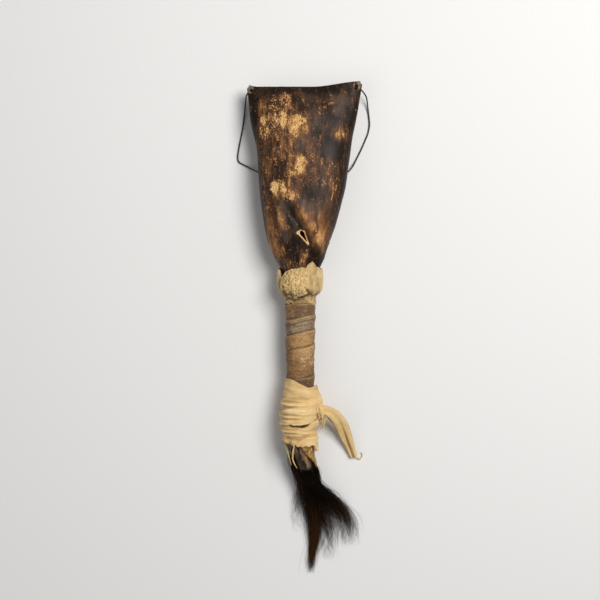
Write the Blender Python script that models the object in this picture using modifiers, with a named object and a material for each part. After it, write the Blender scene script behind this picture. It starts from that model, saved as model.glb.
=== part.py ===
"""A rawhide rattle lying on its back, in metres.

The head is a hide bag folded over at its top edge and laced down both sides, with loose pebbles inside.
Its neck is lashed to a stick, which carries a collar, two wound wraps and a tail tip with its hair.
+Y runs up the handle towards the head, and +Z points away from the surface that the rattle lies on.
Heights along the handle are counted from the tie at the neck until the whole is centred at the end.
"""

import math

import bmesh
import bpy
import numpy as np
from mathutils import Matrix, Vector

# Clearances between pieces that touch, and between the turns of a winding
SEAT_GAP = 0.0003
WIND_GAP = 0.00045

# Wooden stick, from its peg inside the head to its butt inside the lower wrap
STICK_RADIUS = 0.0066
PEG_RADIUS = 0.0050
PEG_TAPER = 0.030
STICK_ABOVE_TIE = 0.045
STICK_BELOW_TIE = 0.088
STICK_ROUNDING = 0.0016

# Rawhide head: heights above the tie, full widths, midline shifts and depths either side of the handle's axis
HIDE_WALL = 0.0016
NECK_END = 0.0040
NECK_TOP = 0.0110
THROAT_HEIGHT = 0.0175
THROAT_WIDTH = 0.0228
THROAT_DEPTH = 0.0112
BASE_HEIGHT = 0.0288
BASE_WIDTH = 0.0336
BASE_SHIFT = -0.0008
BASE_FRONT = 0.0152
BASE_BACK = 0.0138
LOWER_HEIGHT = 0.0468
LOWER_WIDTH = 0.0442
LOWER_SHIFT = 0.0000
LOWER_FRONT = 0.0172
BELLY_HEIGHT = 0.0738
BELLY_WIDTH = 0.0534
BELLY_SHIFT = 0.0016
BELLY_FRONT = 0.0166
BELLY_BACK = 0.0152
UPPER_HEIGHT = 0.1068
UPPER_WIDTH = 0.0612
UPPER_SHIFT = 0.0031
UPPER_FRONT = 0.0104
UPPER_BACK = 0.0092
FOLD_HEIGHT = 0.1262
FOLD_WIDTH = 0.0690
FOLD_SHIFT = 0.0025
FOLD_HALF_THICKNESS = 0.0021
EAR_RISE = 0.0032
EAR_LENGTH = 0.0260
EAR_WIDTH = 0.0300
BACK_FLAT_CUT = 0.0010
HEAD_AROUND = 36
HEAD_ALONG = 17

# Eyelet left at the top of the lapped slit in the front wall, and the cord holes in the two ears
EYELET_HEIGHT = 0.0366
EYELET_X = 0.0024
EYELET_LENGTH = 0.0094
EYELET_WIDTH = 0.0026
EYELET_TURN = math.radians(27)
CORD_HOLE_RADIUS = 0.0009
CORD_HOLE_INSET = 0.0034
CORD_HOLE_DROP = 0.0022

# Lacing cord of the two side seams, which lie a little behind the head's widest line
LACE_RADIUS = 0.0005
SEAM_ANGLE = math.radians(28)
LACE_TOP = 0.0738
LACE_BOTTOM = 0.0300
LACE_STITCHES = 11
LACE_HALF_STITCH = math.radians(8)

# Sinew lashing under the collar, and the tie that draws the collar in
SINEW_RADIUS = 0.0005
LASHING_TURNS = 3
LASHING_INSET = 0.0012
TIE_TURNS = 2
WINDING_PITCH = 0.00155
POINTS_PER_TURN = 24

# Pale hide collar over the neck
COLLAR_WALL = 0.0016
COLLAR_HEM = 0.0040
COLLAR_HEIGHT = 0.0182
COLLAR_BULGE = 0.0021
COLLAR_PEAK = 0.0032
COLLAR_DIP = 0.0046
COLLAR_PEAK_ANGLE = math.radians(28)
COLLAR_DIP_ANGLE = math.radians(-52)

# Brown strip wound down the grip, and the pale strip wound on below it
GRIP_STRIP_WIDTH = 0.0125
GRIP_STRIP_THICKNESS = 0.0011
GRIP_PITCH = 0.0093
WRAP_STRIP_WIDTH = 0.0150
WRAP_STRIP_THICKNESS = 0.0013
WRAP_PITCH = 0.0105
WRAP_TOP = 0.0478
WRAP_LENGTH = 0.0428
LAP_CLEARANCE = 0.0005
LAP_RAMP = 0.0012
WEDGE_WIDTH = 0.0024

# Knot on the right of the lower wrap, and the free end of its strip
KNOT_DROP = 0.0205
KNOT_HALF_WIDTH = 0.0027
KNOT_HALF_LENGTH = 0.0070
KNOT_HALF_HEIGHT = 0.0050
STRAP_WIDTH = 0.0078
STRAP_TIP_WIDTH = 0.0056
STRAP_THICKNESS = 0.0014
STRAP_FOLD = 0.0012
STRAP_REACH = 0.0124
STRAP_FALL = 0.0278

# Dried tail tip: a sleeve of skin on the stick's butt, its core, and the hair that grows from it
SKIN_WALL = 0.0011
SKIN_SLEEVE = 0.0140
SKIN_MOUTH_RADIUS = 0.0056
TAIL_LENGTH = 0.0168
TAIL_SHIFT = 0.0030
CORE_CLEARANCE = 0.0005
HAIR_LENGTH = 0.0622
HAIR_SPREAD = 0.0081

# Torn strips at the lower wrap's edge
FRINGE_RADIUS = 0.00045

# Pebbles on the inside of the head's back, each in a lane of its own
PEBBLE_RADII = (0.0026, 0.0029, 0.0027, 0.0030, 0.0028, 0.0025)
PEBBLE_HEIGHTS = (0.073, 0.067, 0.079, 0.070, 0.064, 0.077)
PEBBLE_LANE = 0.0066

# The axis lies as high as the back of the head is deep, less the flat that it dried with
AXIS_HEIGHT = BELLY_BACK - BACK_FLAT_CUT
NECK_RADIUS = STICK_RADIUS + SEAT_GAP + HIDE_WALL
GRIP_INNER = STICK_RADIUS + SEAT_GAP
GRIP_TOP = COLLAR_HEM + SEAT_GAP
SKIN_INNER = STICK_RADIUS + SEAT_GAP
GRIP_LENGTH = WRAP_TOP - GRIP_TOP - SEAT_GAP
WRAP_INNER = SKIN_INNER + SKIN_WALL + SEAT_GAP
WRAP_OUTER = WRAP_INNER + 2 * WRAP_STRIP_THICKNESS + WIND_GAP
WRAP_BOTTOM = WRAP_TOP + WRAP_LENGTH
TAIL_START = STICK_BELOW_TIE + SEAT_GAP
HAIR_ROOT_RADIUS = SKIN_MOUTH_RADIUS - CORE_CLEARANCE - SEAT_GAP

for leftover in list(bpy.data.objects):
    bpy.data.objects.remove(leftover)

parts = bpy.data.collections.new("ceremonial_rattle")
cutters = bpy.data.collections.new("cutters")
bpy.context.scene.collection.children.link(parts)
bpy.context.scene.collection.children.link(cutters)
cutters.hide_render = True

root = bpy.data.objects.new("rattle_origin", None)
parts.objects.link(root)


def add_material(name, colour, roughness):
    material = bpy.data.materials.new(name)
    material.use_nodes = True
    shader = material.node_tree.nodes["Principled BSDF"]
    shader.inputs["Base Color"].default_value = (*colour, 1.0)
    shader.inputs["Roughness"].default_value = roughness
    shader.inputs["Metallic"].default_value = 0.0
    return material


RAWHIDE = add_material("rawhide", (0.115, 0.058, 0.028), 0.42)
WOOD = add_material("wood", (0.33, 0.21, 0.11), 0.60)
SINEW = add_material("sinew", (0.42, 0.30, 0.17), 0.60)
PALE_HIDE = add_material("pale_hide", (0.66, 0.49, 0.28), 0.85)
GRIP_HIDE = add_material("grip_hide", (0.29, 0.16, 0.075), 0.50)
TAIL_HIDE = add_material("tail_hide", (0.20, 0.11, 0.05), 0.55)
HAIR = add_material("hair", (0.022, 0.012, 0.008), 0.45)
DARK_CORD = add_material("dark_cord", (0.015, 0.013, 0.012), 0.70)
STONE = add_material("stone", (0.30, 0.27, 0.23), 0.75)


def smooth(share):
    """0 below 0, 1 above 1, and an even S between them."""
    share = min(1.0, max(0.0, share))
    return share * share * (3 - 2 * share)


def bump(angle, centre, half_width):
    """A round bump of height 1 over an angle."""
    turn = math.remainder(angle - centre, 2 * math.pi)
    return math.exp(-((turn / half_width) ** 2))


def through(stations, at):
    """Values at one place on smooth curves through stations, whose first number is the place.

    Between two stations a value stays between theirs: its slope is nought at a peak or a level stretch.
    """
    rows = np.array(stations, float)
    steps = np.diff(rows[:, 0])[:, None]
    rises = np.diff(rows[:, 1:], axis=0) / steps
    before, after = rises[:-1], rises[1:]
    even = 2 * before * after / np.where(before * after > 0, before + after, 1.0)
    inner = np.where(before * after > 0, even, 0.0)
    slopes = np.vstack([rises[:1], inner, rises[-1:]])
    k = int(np.clip(np.searchsorted(rows[:, 0], at) - 1, 0, len(steps) - 1))
    t = (at - rows[k, 0]) / steps[k]
    return (
        rows[k, 1:] * (2 * t**3 - 3 * t**2 + 1)
        + slopes[k] * steps[k] * (t**3 - 2 * t**2 + t)
        + rows[k + 1, 1:] * (3 * t**2 - 2 * t**3)
        + slopes[k + 1] * steps[k] * (t**3 - t**2)
    )


def curve_points(route, count):
    """Points spread along a smooth curve through the points of a route."""
    places = [0.0]
    for first, second in zip(route, route[1:]):
        places.append(places[-1] + (Vector(second) - Vector(first)).length)
    stations = [(place, *point) for place, point in zip(places, route)]
    return [Vector(through(stations, places[-1] * k / (count - 1))) for k in range(count)]


def around(radius, angle, height):
    """A point round the handle's axis: angle 0 is the front, and a quarter turn is the right."""
    return Vector((radius * math.sin(angle), height, AXIS_HEIGHT + radius * math.cos(angle)))


def place(obj, material):
    """Puts a finished piece in the rattle, with its material."""
    obj.data.materials.append(material)
    parts.objects.link(obj)
    obj.parent = root
    return obj


def turn_about(obj, pivot):
    """Moves a piece's origin to the place that it turns about, and leaves the piece where it is."""
    obj.data.transform(Matrix.Translation(-pivot))
    obj.location = pivot


def mesh_piece(name, bm, material):
    bmesh.ops.recalc_face_normals(bm, faces=bm.faces)
    mesh = bpy.data.meshes.new(name)
    bm.to_mesh(mesh)
    bm.free()
    mesh.shade_smooth()
    mesh.set_sharp_from_angle(angle=math.radians(40))
    return place(bpy.data.objects.new(name, mesh), material)


def loft(name, rings, material, ends):
    """Skins rings of points. The ends are left joined in a loop, closed as one face, or closed edge to edge."""
    bm = bmesh.new()
    verts = [[bm.verts.new(point) for point in ring] for ring in rings]
    pairs = list(zip(verts, verts[1:]))
    if ends == "loop":
        pairs.append((verts[-1], verts[0]))
    for first, second in pairs:
        for i in range(len(first)):
            bm.faces.new((first[i - 1], first[i], second[i], second[i - 1]))
    if ends == "face":
        bm.faces.new(verts[0])
        bm.faces.new(verts[-1])
    if ends == "edges":
        for ring in (verts[0], verts[-1]):
            for i in range(len(ring) // 2):
                corners = [ring[i], ring[i + 1], ring[-i - 1], ring[-i]]
                bm.faces.new(list(dict.fromkeys(corners)))
    return mesh_piece(name, bm, material)


def tube(name, points, radius, material, radii=None, resolution=2):
    """A round tube along points, with a share of its radius at each point where it tapers."""
    curve = bpy.data.curves.new(name, "CURVE")
    curve.dimensions = "3D"
    curve.bevel_depth = radius
    curve.bevel_resolution = resolution
    curve.use_fill_caps = True
    spline = curve.splines.new("POLY")
    spline.points.add(len(points) - 1)
    for k, point in enumerate(points):
        spline.points[k].co = (*point, 1.0)
        spline.points[k].radius = radii[k] if radii else 1.0
    spline.use_smooth = True
    return place(bpy.data.objects.new(name, curve), material)


def cut(obj, cutter):
    """Takes a cutter out of a piece and keeps it as a wire guide."""
    cutters.objects.link(cutter)
    cutter.parent = root
    cutter.display_type = "WIRE"
    cutter.hide_render = True
    modifier = obj.modifiers.new("cut_by_" + cutter.name, "BOOLEAN")
    modifier.operation = "DIFFERENCE"
    modifier.object = cutter


def cylinder(name, radius, depth, segments):
    """A plain cylinder about its own Z axis, with its origin in the middle."""
    bm = bmesh.new()
    bmesh.ops.create_cone(
        bm, cap_ends=True, segments=segments, radius1=radius, radius2=radius, depth=depth
    )
    mesh = bpy.data.meshes.new(name)
    bm.to_mesh(mesh)
    bm.free()
    return bpy.data.objects.new(name, mesh)


def least_gap(points, per_turn):
    """The least distance between points that are more than half a turn apart along a winding."""
    spots = np.array([tuple(point) for point in points])
    apart = np.linalg.norm(spots[:, None] - spots[None], axis=2)
    index = np.arange(len(spots))
    apart[abs(index[:, None] - index[None]) <= per_turn // 2] = math.inf
    return apart.min()


# Rawhide head
# Each station: height, full width, midline shift, front depth, back depth, squareness of the section
HEAD_STATIONS = (
    (NECK_END, 2 * NECK_RADIUS, 0.0, NECK_RADIUS, NECK_RADIUS, 2.0),
    (NECK_TOP, 2 * NECK_RADIUS, 0.0, NECK_RADIUS, NECK_RADIUS, 2.0),
    (THROAT_HEIGHT, THROAT_WIDTH, 0.0, THROAT_DEPTH, THROAT_DEPTH, 2.0),
    (BASE_HEIGHT, BASE_WIDTH, BASE_SHIFT, BASE_FRONT, BASE_BACK, 2.1),
    (LOWER_HEIGHT, LOWER_WIDTH, LOWER_SHIFT, LOWER_FRONT, BELLY_BACK, 2.3),
    (BELLY_HEIGHT, BELLY_WIDTH, BELLY_SHIFT, BELLY_FRONT, BELLY_BACK, 2.5),
    (UPPER_HEIGHT, UPPER_WIDTH, UPPER_SHIFT, UPPER_FRONT, UPPER_BACK, 2.4),
    (FOLD_HEIGHT, FOLD_WIDTH, FOLD_SHIFT, FOLD_HALF_THICKNESS, FOLD_HALF_THICKNESS, 2.2),
)


def head_point(height, angle, inset):
    """A point of the head's section at one height: angle 0 is the right and a quarter turn the front."""
    width, shift, front, back, squareness = through(HEAD_STATIONS, height)
    across = math.copysign(abs(math.cos(angle)) ** (2 / squareness), math.cos(angle))
    outward = math.copysign(abs(math.sin(angle)) ** (2 / squareness), math.sin(angle))
    depth = front if outward > 0 else back
    x = shift + (width / 2 - inset) * across
    z = max((depth - inset) * outward, inset - AXIS_HEIGHT)
    near_fold = smooth((height - FOLD_HEIGHT + EAR_LENGTH) / EAR_LENGTH)
    right_ear = smooth((x - shift - FOLD_WIDTH / 2 + EAR_WIDTH) / EAR_WIDTH)
    return Vector((x, height + EAR_RISE * near_fold * right_ear, AXIS_HEIGHT + z))


def head_ring(height, inset):
    turn = 2 * math.pi / HEAD_AROUND
    return [head_point(height, turn * i, inset) for i in range(HEAD_AROUND)]


def head_rings(inset):
    """Rings from the neck to the fold, closer together near the ends. The inner fold stops a wall short."""
    length = FOLD_HEIGHT - inset - NECK_END
    shares = [k / HEAD_ALONG for k in range(HEAD_ALONG + 1)]
    eased = [share - 0.10 * math.sin(2 * math.pi * share) / math.pi for share in shares]
    return [head_ring(NECK_END + length * share, inset) for share in eased]


def ear_hole(side):
    """The middle of the cord hole in the left (-1) or right (1) ear."""
    x = FOLD_SHIFT + side * (FOLD_WIDTH / 2 - CORD_HOLE_INSET)
    rise = EAR_RISE if side > 0 else 0.0
    return Vector((x, FOLD_HEIGHT + rise - CORD_HOLE_DROP, AXIS_HEIGHT))


def make_head():
    rings = head_rings(HIDE_WALL)[::-1] + head_rings(0.0)
    head = loft("rawhide_head", rings, RAWHIDE, "edges")
    eyelet = cylinder("eyelet_cutter", EYELET_WIDTH / 2, LOWER_FRONT, 12)
    for vert in eyelet.data.vertices:
        share = vert.co.y / (EYELET_WIDTH / 2)
        vert.co.x *= 0.72 + 0.28 * share
        vert.co.y *= EYELET_LENGTH / EYELET_WIDTH
    eyelet.location = (EYELET_X, EYELET_HEIGHT, AXIS_HEIGHT + LOWER_FRONT)
    eyelet.rotation_euler.z = EYELET_TURN
    cut(head, eyelet)
    for side, name in ((-1, "left"), (1, "right")):
        hole = cylinder(f"ear_hole_{name}", CORD_HOLE_RADIUS, 8 * FOLD_HALF_THICKNESS, 10)
        hole.location = ear_hole(side)
        cut(head, hole)
    return head


# Wooden stick
def make_stick():
    """A turned stick with a tapered peg, standing on Z in its own mesh and laid along the handle."""
    shoulder = STICK_ABOVE_TIE - PEG_TAPER
    profile = [
        (0.0, STICK_ABOVE_TIE),
        (PEG_RADIUS - STICK_ROUNDING, STICK_ABOVE_TIE),
        (PEG_RADIUS, STICK_ABOVE_TIE - STICK_ROUNDING),
        (STICK_RADIUS, shoulder),
        (STICK_RADIUS, STICK_ROUNDING - STICK_BELOW_TIE),
        (STICK_RADIUS - STICK_ROUNDING, -STICK_BELOW_TIE),
        (0.0, -STICK_BELOW_TIE),
    ]
    mesh = bpy.data.meshes.new("handle_stick")
    edges = [(k, k + 1) for k in range(len(profile) - 1)]
    mesh.from_pydata([(x, 0.0, z) for x, z in profile], edges, [])
    stick = place(bpy.data.objects.new("handle_stick", mesh), WOOD)
    screw = stick.modifiers.new("turned", "SCREW")
    screw.steps = screw.render_steps = 20
    screw.use_merge_vertices = True
    screw.merge_threshold = 0.00001
    stick.rotation_euler.x = -math.pi / 2
    stick.location.z = AXIS_HEIGHT
    return stick


# Lashing and tie
def wind_cord(name, radius, start, turns):
    """A cord wound round the handle in a helix, as one unbroken tube."""
    count = turns * POINTS_PER_TURN
    points = []
    for k in range(count + 1):
        turn = k / POINTS_PER_TURN
        points.append(around(radius, 2 * math.pi * turn, start + WINDING_PITCH * turn))
    gap = least_gap(points, POINTS_PER_TURN) - 2 * SINEW_RADIUS
    print(f"{name}: least gap between turns {gap * 1000:.2f} mm")
    return tube(name, points, SINEW_RADIUS, SINEW, resolution=1)


# Collar
def collar_profile():
    """(height, inner radius, outer radius) up the collar, from its hem to its rim."""
    bore = STICK_RADIUS + SEAT_GAP
    lashed = NECK_RADIUS + SEAT_GAP + 2 * SINEW_RADIUS + SEAT_GAP
    throat = through(HEAD_STATIONS, COLLAR_HEIGHT)[0] / 2
    rim = throat + SEAT_GAP
    middle = (lashed + rim) / 2
    waist = TIE_TURNS * WINDING_PITCH / 2 + SINEW_RADIUS + SEAT_GAP
    return (
        (-COLLAR_HEM, bore, bore + COLLAR_WALL + 2 * SEAT_GAP),
        (-waist, bore, bore + COLLAR_WALL),
        (waist, bore, bore + COLLAR_WALL),
        (NECK_END - SEAT_GAP, lashed, lashed + COLLAR_WALL),
        (0.38 * COLLAR_HEIGHT, lashed, lashed + COLLAR_WALL + 0.8 * COLLAR_BULGE),
        (0.66 * COLLAR_HEIGHT, middle, middle + COLLAR_WALL + COLLAR_BULGE),
        (COLLAR_HEIGHT, rim, rim + COLLAR_WALL),
    )


def make_collar():
    """A sleeve drawn in at its tie, whose rim rises to a lapped point and dips on the other side."""
    segments = 28
    profile = collar_profile()
    outline = [(h, inner) for h, inner, _ in profile] + [(h, outer) for h, _, outer in profile[::-1]]
    rings = []
    for height, radius in outline:
        ring = []
        for i in range(segments):
            angle = 2 * math.pi * i / segments
            rim = COLLAR_PEAK * bump(angle, COLLAR_PEAK_ANGLE, 0.28)
            rim -= COLLAR_DIP * bump(angle, COLLAR_DIP_ANGLE, 0.42)
            share = smooth((height / COLLAR_HEIGHT - 0.3) / 0.7)
            flare = max(0.0, rim) * share * 0.35
            ring.append(around(radius + flare, angle, height + rim * share))
        rings.append(ring)
    return loft("neck_collar", rings, PALE_HIDE, "loop")


# Wound strips
def wind_strip(name, material, top, length, pitch, width, thickness, inner_radius, hand):
    """One strip wound down the handle in a helix, each turn's upper edge lapped over the turn above.

    The strip starts as a wedge, so that its first edge lies level, and its lower edge ends level too.
    """
    bottom = top - length
    first_centre = top - WEDGE_WIDTH + width / 2
    turns = (length - WEDGE_WIDTH + pitch - LAP_CLEARANCE - 2 * LAP_RAMP) / pitch
    count = math.ceil(turns * POINTS_PER_TURN)
    rings = []
    for k in range(count + 1):
        turn = turns * k / count
        centre = first_centre - pitch * turn
        upper = min(top, centre + width / 2)
        lower = max(bottom, centre - width / 2)
        edge_beneath = min(upper, max(bottom, centre + pitch - width / 2))
        raised = inner_radius + (thickness + WIND_GAP) * smooth((turn - 0.8) / 0.2)
        step_top = edge_beneath - LAP_CLEARANCE
        inner = [
            (lower, inner_radius),
            (step_top - LAP_RAMP, inner_radius),
            (step_top, raised),
            (upper, raised),
        ]
        outer = [(height, radius + thickness) for height, radius in inner[::-1]]
        angle = hand * 2 * math.pi * turn
        rings.append([around(radius, angle, height) for height, radius in inner + outer])
    edges = [point for ring in rings for point in ring]
    gap = least_gap(edges, POINTS_PER_TURN * len(rings[0]))
    print(f"{name}: least gap between turns {gap * 1000:.2f} mm")
    return loft(name, rings, material, "face")


# Knot and free end of the lower wrap
def knot_centre():
    seat = WRAP_OUTER + SEAT_GAP
    return Vector((seat + 0.55 * KNOT_HALF_WIDTH, -WRAP_TOP - KNOT_DROP, AXIS_HEIGHT))


def make_knot():
    """A lump of wrapped strip that lies against the wrap, so its inner side is hollowed to fit."""
    bm = bmesh.new()
    bmesh.ops.create_uvsphere(bm, u_segments=14, v_segments=9, radius=1.0)
    bmesh.ops.scale(bm, vec=(KNOT_HALF_WIDTH, KNOT_HALF_LENGTH, KNOT_HALF_HEIGHT), verts=bm.verts)
    bmesh.ops.translate(bm, vec=knot_centre(), verts=bm.verts)
    knot = mesh_piece("wrap_knot", bm, PALE_HIDE)
    seat = cylinder("knot_seat", WRAP_OUTER + SEAT_GAP, 4 * KNOT_HALF_LENGTH, 48)
    seat.rotation_euler.x = math.pi / 2
    seat.location = (0.0, knot_centre().y, AXIS_HEIGHT)
    cut(knot, seat)
    return knot


def strap_pivot():
    """Where the free end turns: a half width out from the knot."""
    middle = knot_centre()
    clear = KNOT_HALF_WIDTH + SEAT_GAP + STRAP_WIDTH / 2
    return Vector((middle.x + clear, middle.y, middle.z))


def make_strap():
    """The strip's free end: a round root at the knot, an arc down to the surface, and a fold along it."""
    pivot = strap_pivot()
    floor = STRAP_THICKNESS + SEAT_GAP
    route = [
        (0.0, 0.0, pivot.z),
        (0.34 * STRAP_REACH, -0.02 * STRAP_FALL, 0.90 * pivot.z),
        (0.66 * STRAP_REACH, -0.20 * STRAP_FALL, 0.62 * pivot.z),
        (0.84 * STRAP_REACH, -0.50 * STRAP_FALL, 0.30 * pivot.z),
        (0.95 * STRAP_REACH, -0.80 * STRAP_FALL, 0.14 * pivot.z),
        (STRAP_REACH, -STRAP_FALL, floor),
    ]
    count = 14
    middles = curve_points(route, count)
    radius = STRAP_WIDTH / 2
    root_shares = (0.0, 0.35, 0.72)
    sections = []
    for share in root_shares:
        start = Vector((-radius * math.cos(share * math.pi / 2), 0.0, pivot.z))
        sections.append((start, Vector((1, 0, 0)), max(0.0006, radius * math.sin(share * math.pi / 2))))
    for k, middle in enumerate(middles):
        ahead = middles[min(k + 1, count - 1)] - middles[max(k - 1, 0)]
        narrowing = (STRAP_WIDTH - STRAP_TIP_WIDTH) / 2 * smooth(k / (count - 1))
        sections.append((middle, ahead.normalized(), radius - narrowing))
    rings = []
    for k, (middle, ahead, half) in enumerate(sections):
        side = ahead.cross(Vector((0, 0, 1))).normalized()
        up = side.cross(ahead)
        fold = STRAP_FOLD * smooth((k - 6) / 6) * half / radius
        under = [middle + side * half * s + up * fold * (1 - abs(s)) for s in (-1, 0, 1)]
        over = [point + up * STRAP_THICKNESS for point in under[::-1]]
        lift = Vector((pivot.x, pivot.y, -STRAP_THICKNESS / 2))
        rings.append([point + lift for point in under + over])
    strap = loft("strap_end", rings, PALE_HIDE, "face")
    turn_about(strap, pivot)
    return strap


# Tail tip
def tail_middle(drop):
    """The middle line of the tail tip, a distance below the stick's butt: it droops to the surface."""
    share = smooth(drop / TAIL_LENGTH)
    resting = SKIN_MOUTH_RADIUS + SKIN_WALL + SEAT_GAP
    return Vector(
        (TAIL_SHIFT * share, -TAIL_START - drop, AXIS_HEIGHT + (resting - AXIS_HEIGHT) * share)
    )


def make_tail_skin():
    """A sleeve round the stick's butt that opens into a gutter, its cut edge winding to the right."""
    along = 9
    points_per_arc = 15
    rings = []
    for k in range(along):
        drop = -SKIN_SLEEVE + (SKIN_SLEEVE + TAIL_LENGTH) * k / (along - 1)
        free = smooth((drop + 0.25 * TAIL_LENGTH) / TAIL_LENGTH)
        narrow = smooth((drop - SEAT_GAP) / (0.5 * TAIL_LENGTH))
        inner = SKIN_INNER + (SKIN_MOUTH_RADIUS - SKIN_INNER) * narrow
        first = math.radians(8 + 62 * free)
        last = math.radians(335 - 65 * free)
        middle = tail_middle(max(0.0, drop))
        middle.y = -TAIL_START - drop
        arc = [first + (last - first) * i / (points_per_arc - 1) for i in range(points_per_arc)]
        ring = []
        for radius, angles in ((inner, arc), (inner + SKIN_WALL, arc[::-1])):
            for angle in angles:
                ring.append(middle + Vector((radius * math.sin(angle), 0.0, radius * math.cos(angle))))
        rings.append(ring)
    return loft("tail_skin", rings, TAIL_HIDE, "face")


def make_tail_core():
    """The dried core inside the gutter, from the stick's butt to the gutter's mouth."""
    segments = 14
    radius = SKIN_MOUTH_RADIUS - CORE_CLEARANCE
    rings = []
    for k in range(6):
        middle = tail_middle(TAIL_LENGTH * k / 5)
        angles = [2 * math.pi * i / segments for i in range(segments)]
        rings.append([middle + Vector((radius * math.sin(a), 0.0, radius * math.cos(a))) for a in angles])
    return loft("tail_core", rings, TAIL_HIDE, "face")


# Hair
def hair_pivot():
    """Where the hair turns: the middle of its round root, which lies against the tail's core."""
    return tail_middle(TAIL_LENGTH) - Vector((0.0, SEAT_GAP + HAIR_ROOT_RADIUS, 0.0))


def hair_section(share):
    """The main mass at a share of its length: its middle, half width and half height."""
    mouth = tail_middle(TAIL_LENGTH)
    # Each station: share of the length, shift from the mouth, half width, half height
    stations = (
        (0.00, 0.0, HAIR_ROOT_RADIUS, HAIR_ROOT_RADIUS),
        (0.10, 0.0005, 0.84 * HAIR_SPREAD, 0.0046),
        (0.22, 0.0023, HAIR_SPREAD, 0.0038),
        (0.37, 0.0033, 0.84 * HAIR_SPREAD, 0.0029),
        (0.55, 0.0040, 0.60 * HAIR_SPREAD, 0.0021),
        (0.74, 0.0038, 0.36 * HAIR_SPREAD, 0.0014),
        (0.90, 0.0031, 0.18 * HAIR_SPREAD, 0.0008),
        (1.00, 0.0027, 0.06 * HAIR_SPREAD, 0.0004),
    )
    shift, half_width, half_height = through(stations, share)
    lying = half_height + SEAT_GAP
    height = max(lying, mouth.z + (lying - mouth.z) * smooth(share / 0.30))
    middle = Vector((mouth.x + shift, mouth.y - SEAT_GAP - HAIR_LENGTH * share, height))
    return middle, half_width, half_height


def make_hair_main():
    """The main mass of hair: from a round root a flattened lock spreads, and tapers to a point."""
    along = 11
    segments = 14
    pivot = hair_pivot()
    sections = []
    for degrees in (10, 36, 62):
        rise = HAIR_ROOT_RADIUS * math.cos(math.radians(degrees))
        radius = HAIR_ROOT_RADIUS * math.sin(math.radians(degrees))
        sections.append((pivot + Vector((0.0, rise, 0.0)), radius, radius))
    first = HAIR_ROOT_RADIUS / HAIR_LENGTH
    for k in range(along + 1):
        sections.append(hair_section(first + (1 - first) * k / along))
    rings = []
    for middle, half_width, half_height in sections:
        ring = []
        for i in range(segments):
            angle = 2 * math.pi * i / segments
            offset = (half_width * math.cos(angle), 0.0, half_height * math.sin(angle))
            ring.append(middle + Vector(offset))
        rings.append(ring)
    hair = loft("hair_main", rings, HAIR, "face")
    turn_about(hair, pivot)
    return hair


def make_side_lock(name, radius, side, share, route):
    """A lock that leaves the side of the main mass and lies on the surface, thin at both ends."""
    middle, half_width, _ = hair_section(share)
    thin_end = 0.35
    root_gap = half_width + SEAT_GAP + thin_end * radius
    start = Vector((middle.x + side * root_gap, middle.y, max(middle.z, radius)))
    lying = radius + SEAT_GAP
    points = [tuple(start)] + [(start.x + side * x, start.y - y, lying) for x, y in route]
    count = 11
    shares = [k / (count - 1) for k in range(count)]
    radii = [thin_end + (1 - thin_end) * math.sin(math.pi * s) for s in shares]
    lock = tube(name, curve_points(points, count), radius, HAIR, radii)
    turn_about(lock, hair_pivot())
    return lock


# Pebbles
def inner_floor(x, height):
    """The height above the surface of the inside of the head's back."""
    width, shift, _, back, squareness = through(HEAD_STATIONS, height)
    across = min(1.0, abs(x - shift) / (width / 2 - HIDE_WALL))
    depth = (back - HIDE_WALL) * (1 - across**squareness) ** (1 / squareness)
    return AXIS_HEIGHT - min(depth, AXIS_HEIGHT - HIDE_WALL)


def make_pebble(number, radius, lane_x, height):
    """A rounded stone resting on the inside of the back, with its origin in its middle."""
    spans = [radius * math.sin(math.pi * (k / 8 - 0.5)) for k in range(9)]
    rest = max(
        inner_floor(lane_x + dx, height + dy) + math.sqrt(max(0.0, radius**2 - dx**2 - dy**2))
        for dx in spans
        for dy in spans
        if dx**2 + dy**2 <= radius**2
    )
    bm = bmesh.new()
    bmesh.ops.create_icosphere(bm, subdivisions=2, radius=radius)
    for vert in bm.verts:
        wave = math.sin(3.1 * number + 420 * vert.co.x) * math.cos(2.3 * number + 380 * vert.co.y)
        vert.co.x *= 0.94 + 0.06 * wave
        vert.co.y *= 0.90 + 0.08 * wave
    pebble = mesh_piece(f"pebble_{number}", bm, STONE)
    pebble.location = (lane_x, height, rest + 2 * SEAT_GAP)
    return pebble


# Side seams
def make_lacing(name, side):
    """The lacing cord down one side seam: a zigzag over the two edges, held close to the hide."""
    seam = math.pi + SEAM_ANGLE if side < 0 else -SEAM_ANGLE
    stand_off = -(LACE_RADIUS + SEAT_GAP)
    count = 4 * LACE_STITCHES
    points = []
    for k in range(count + 1):
        height = LACE_TOP + (LACE_BOTTOM - LACE_TOP) * k / count
        swing = LACE_HALF_STITCH * math.sin(math.pi * k / 2)
        points.append(head_point(height, seam + swing, stand_off))
    return tube(name, points, LACE_RADIUS, DARK_CORD, resolution=1)


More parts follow.
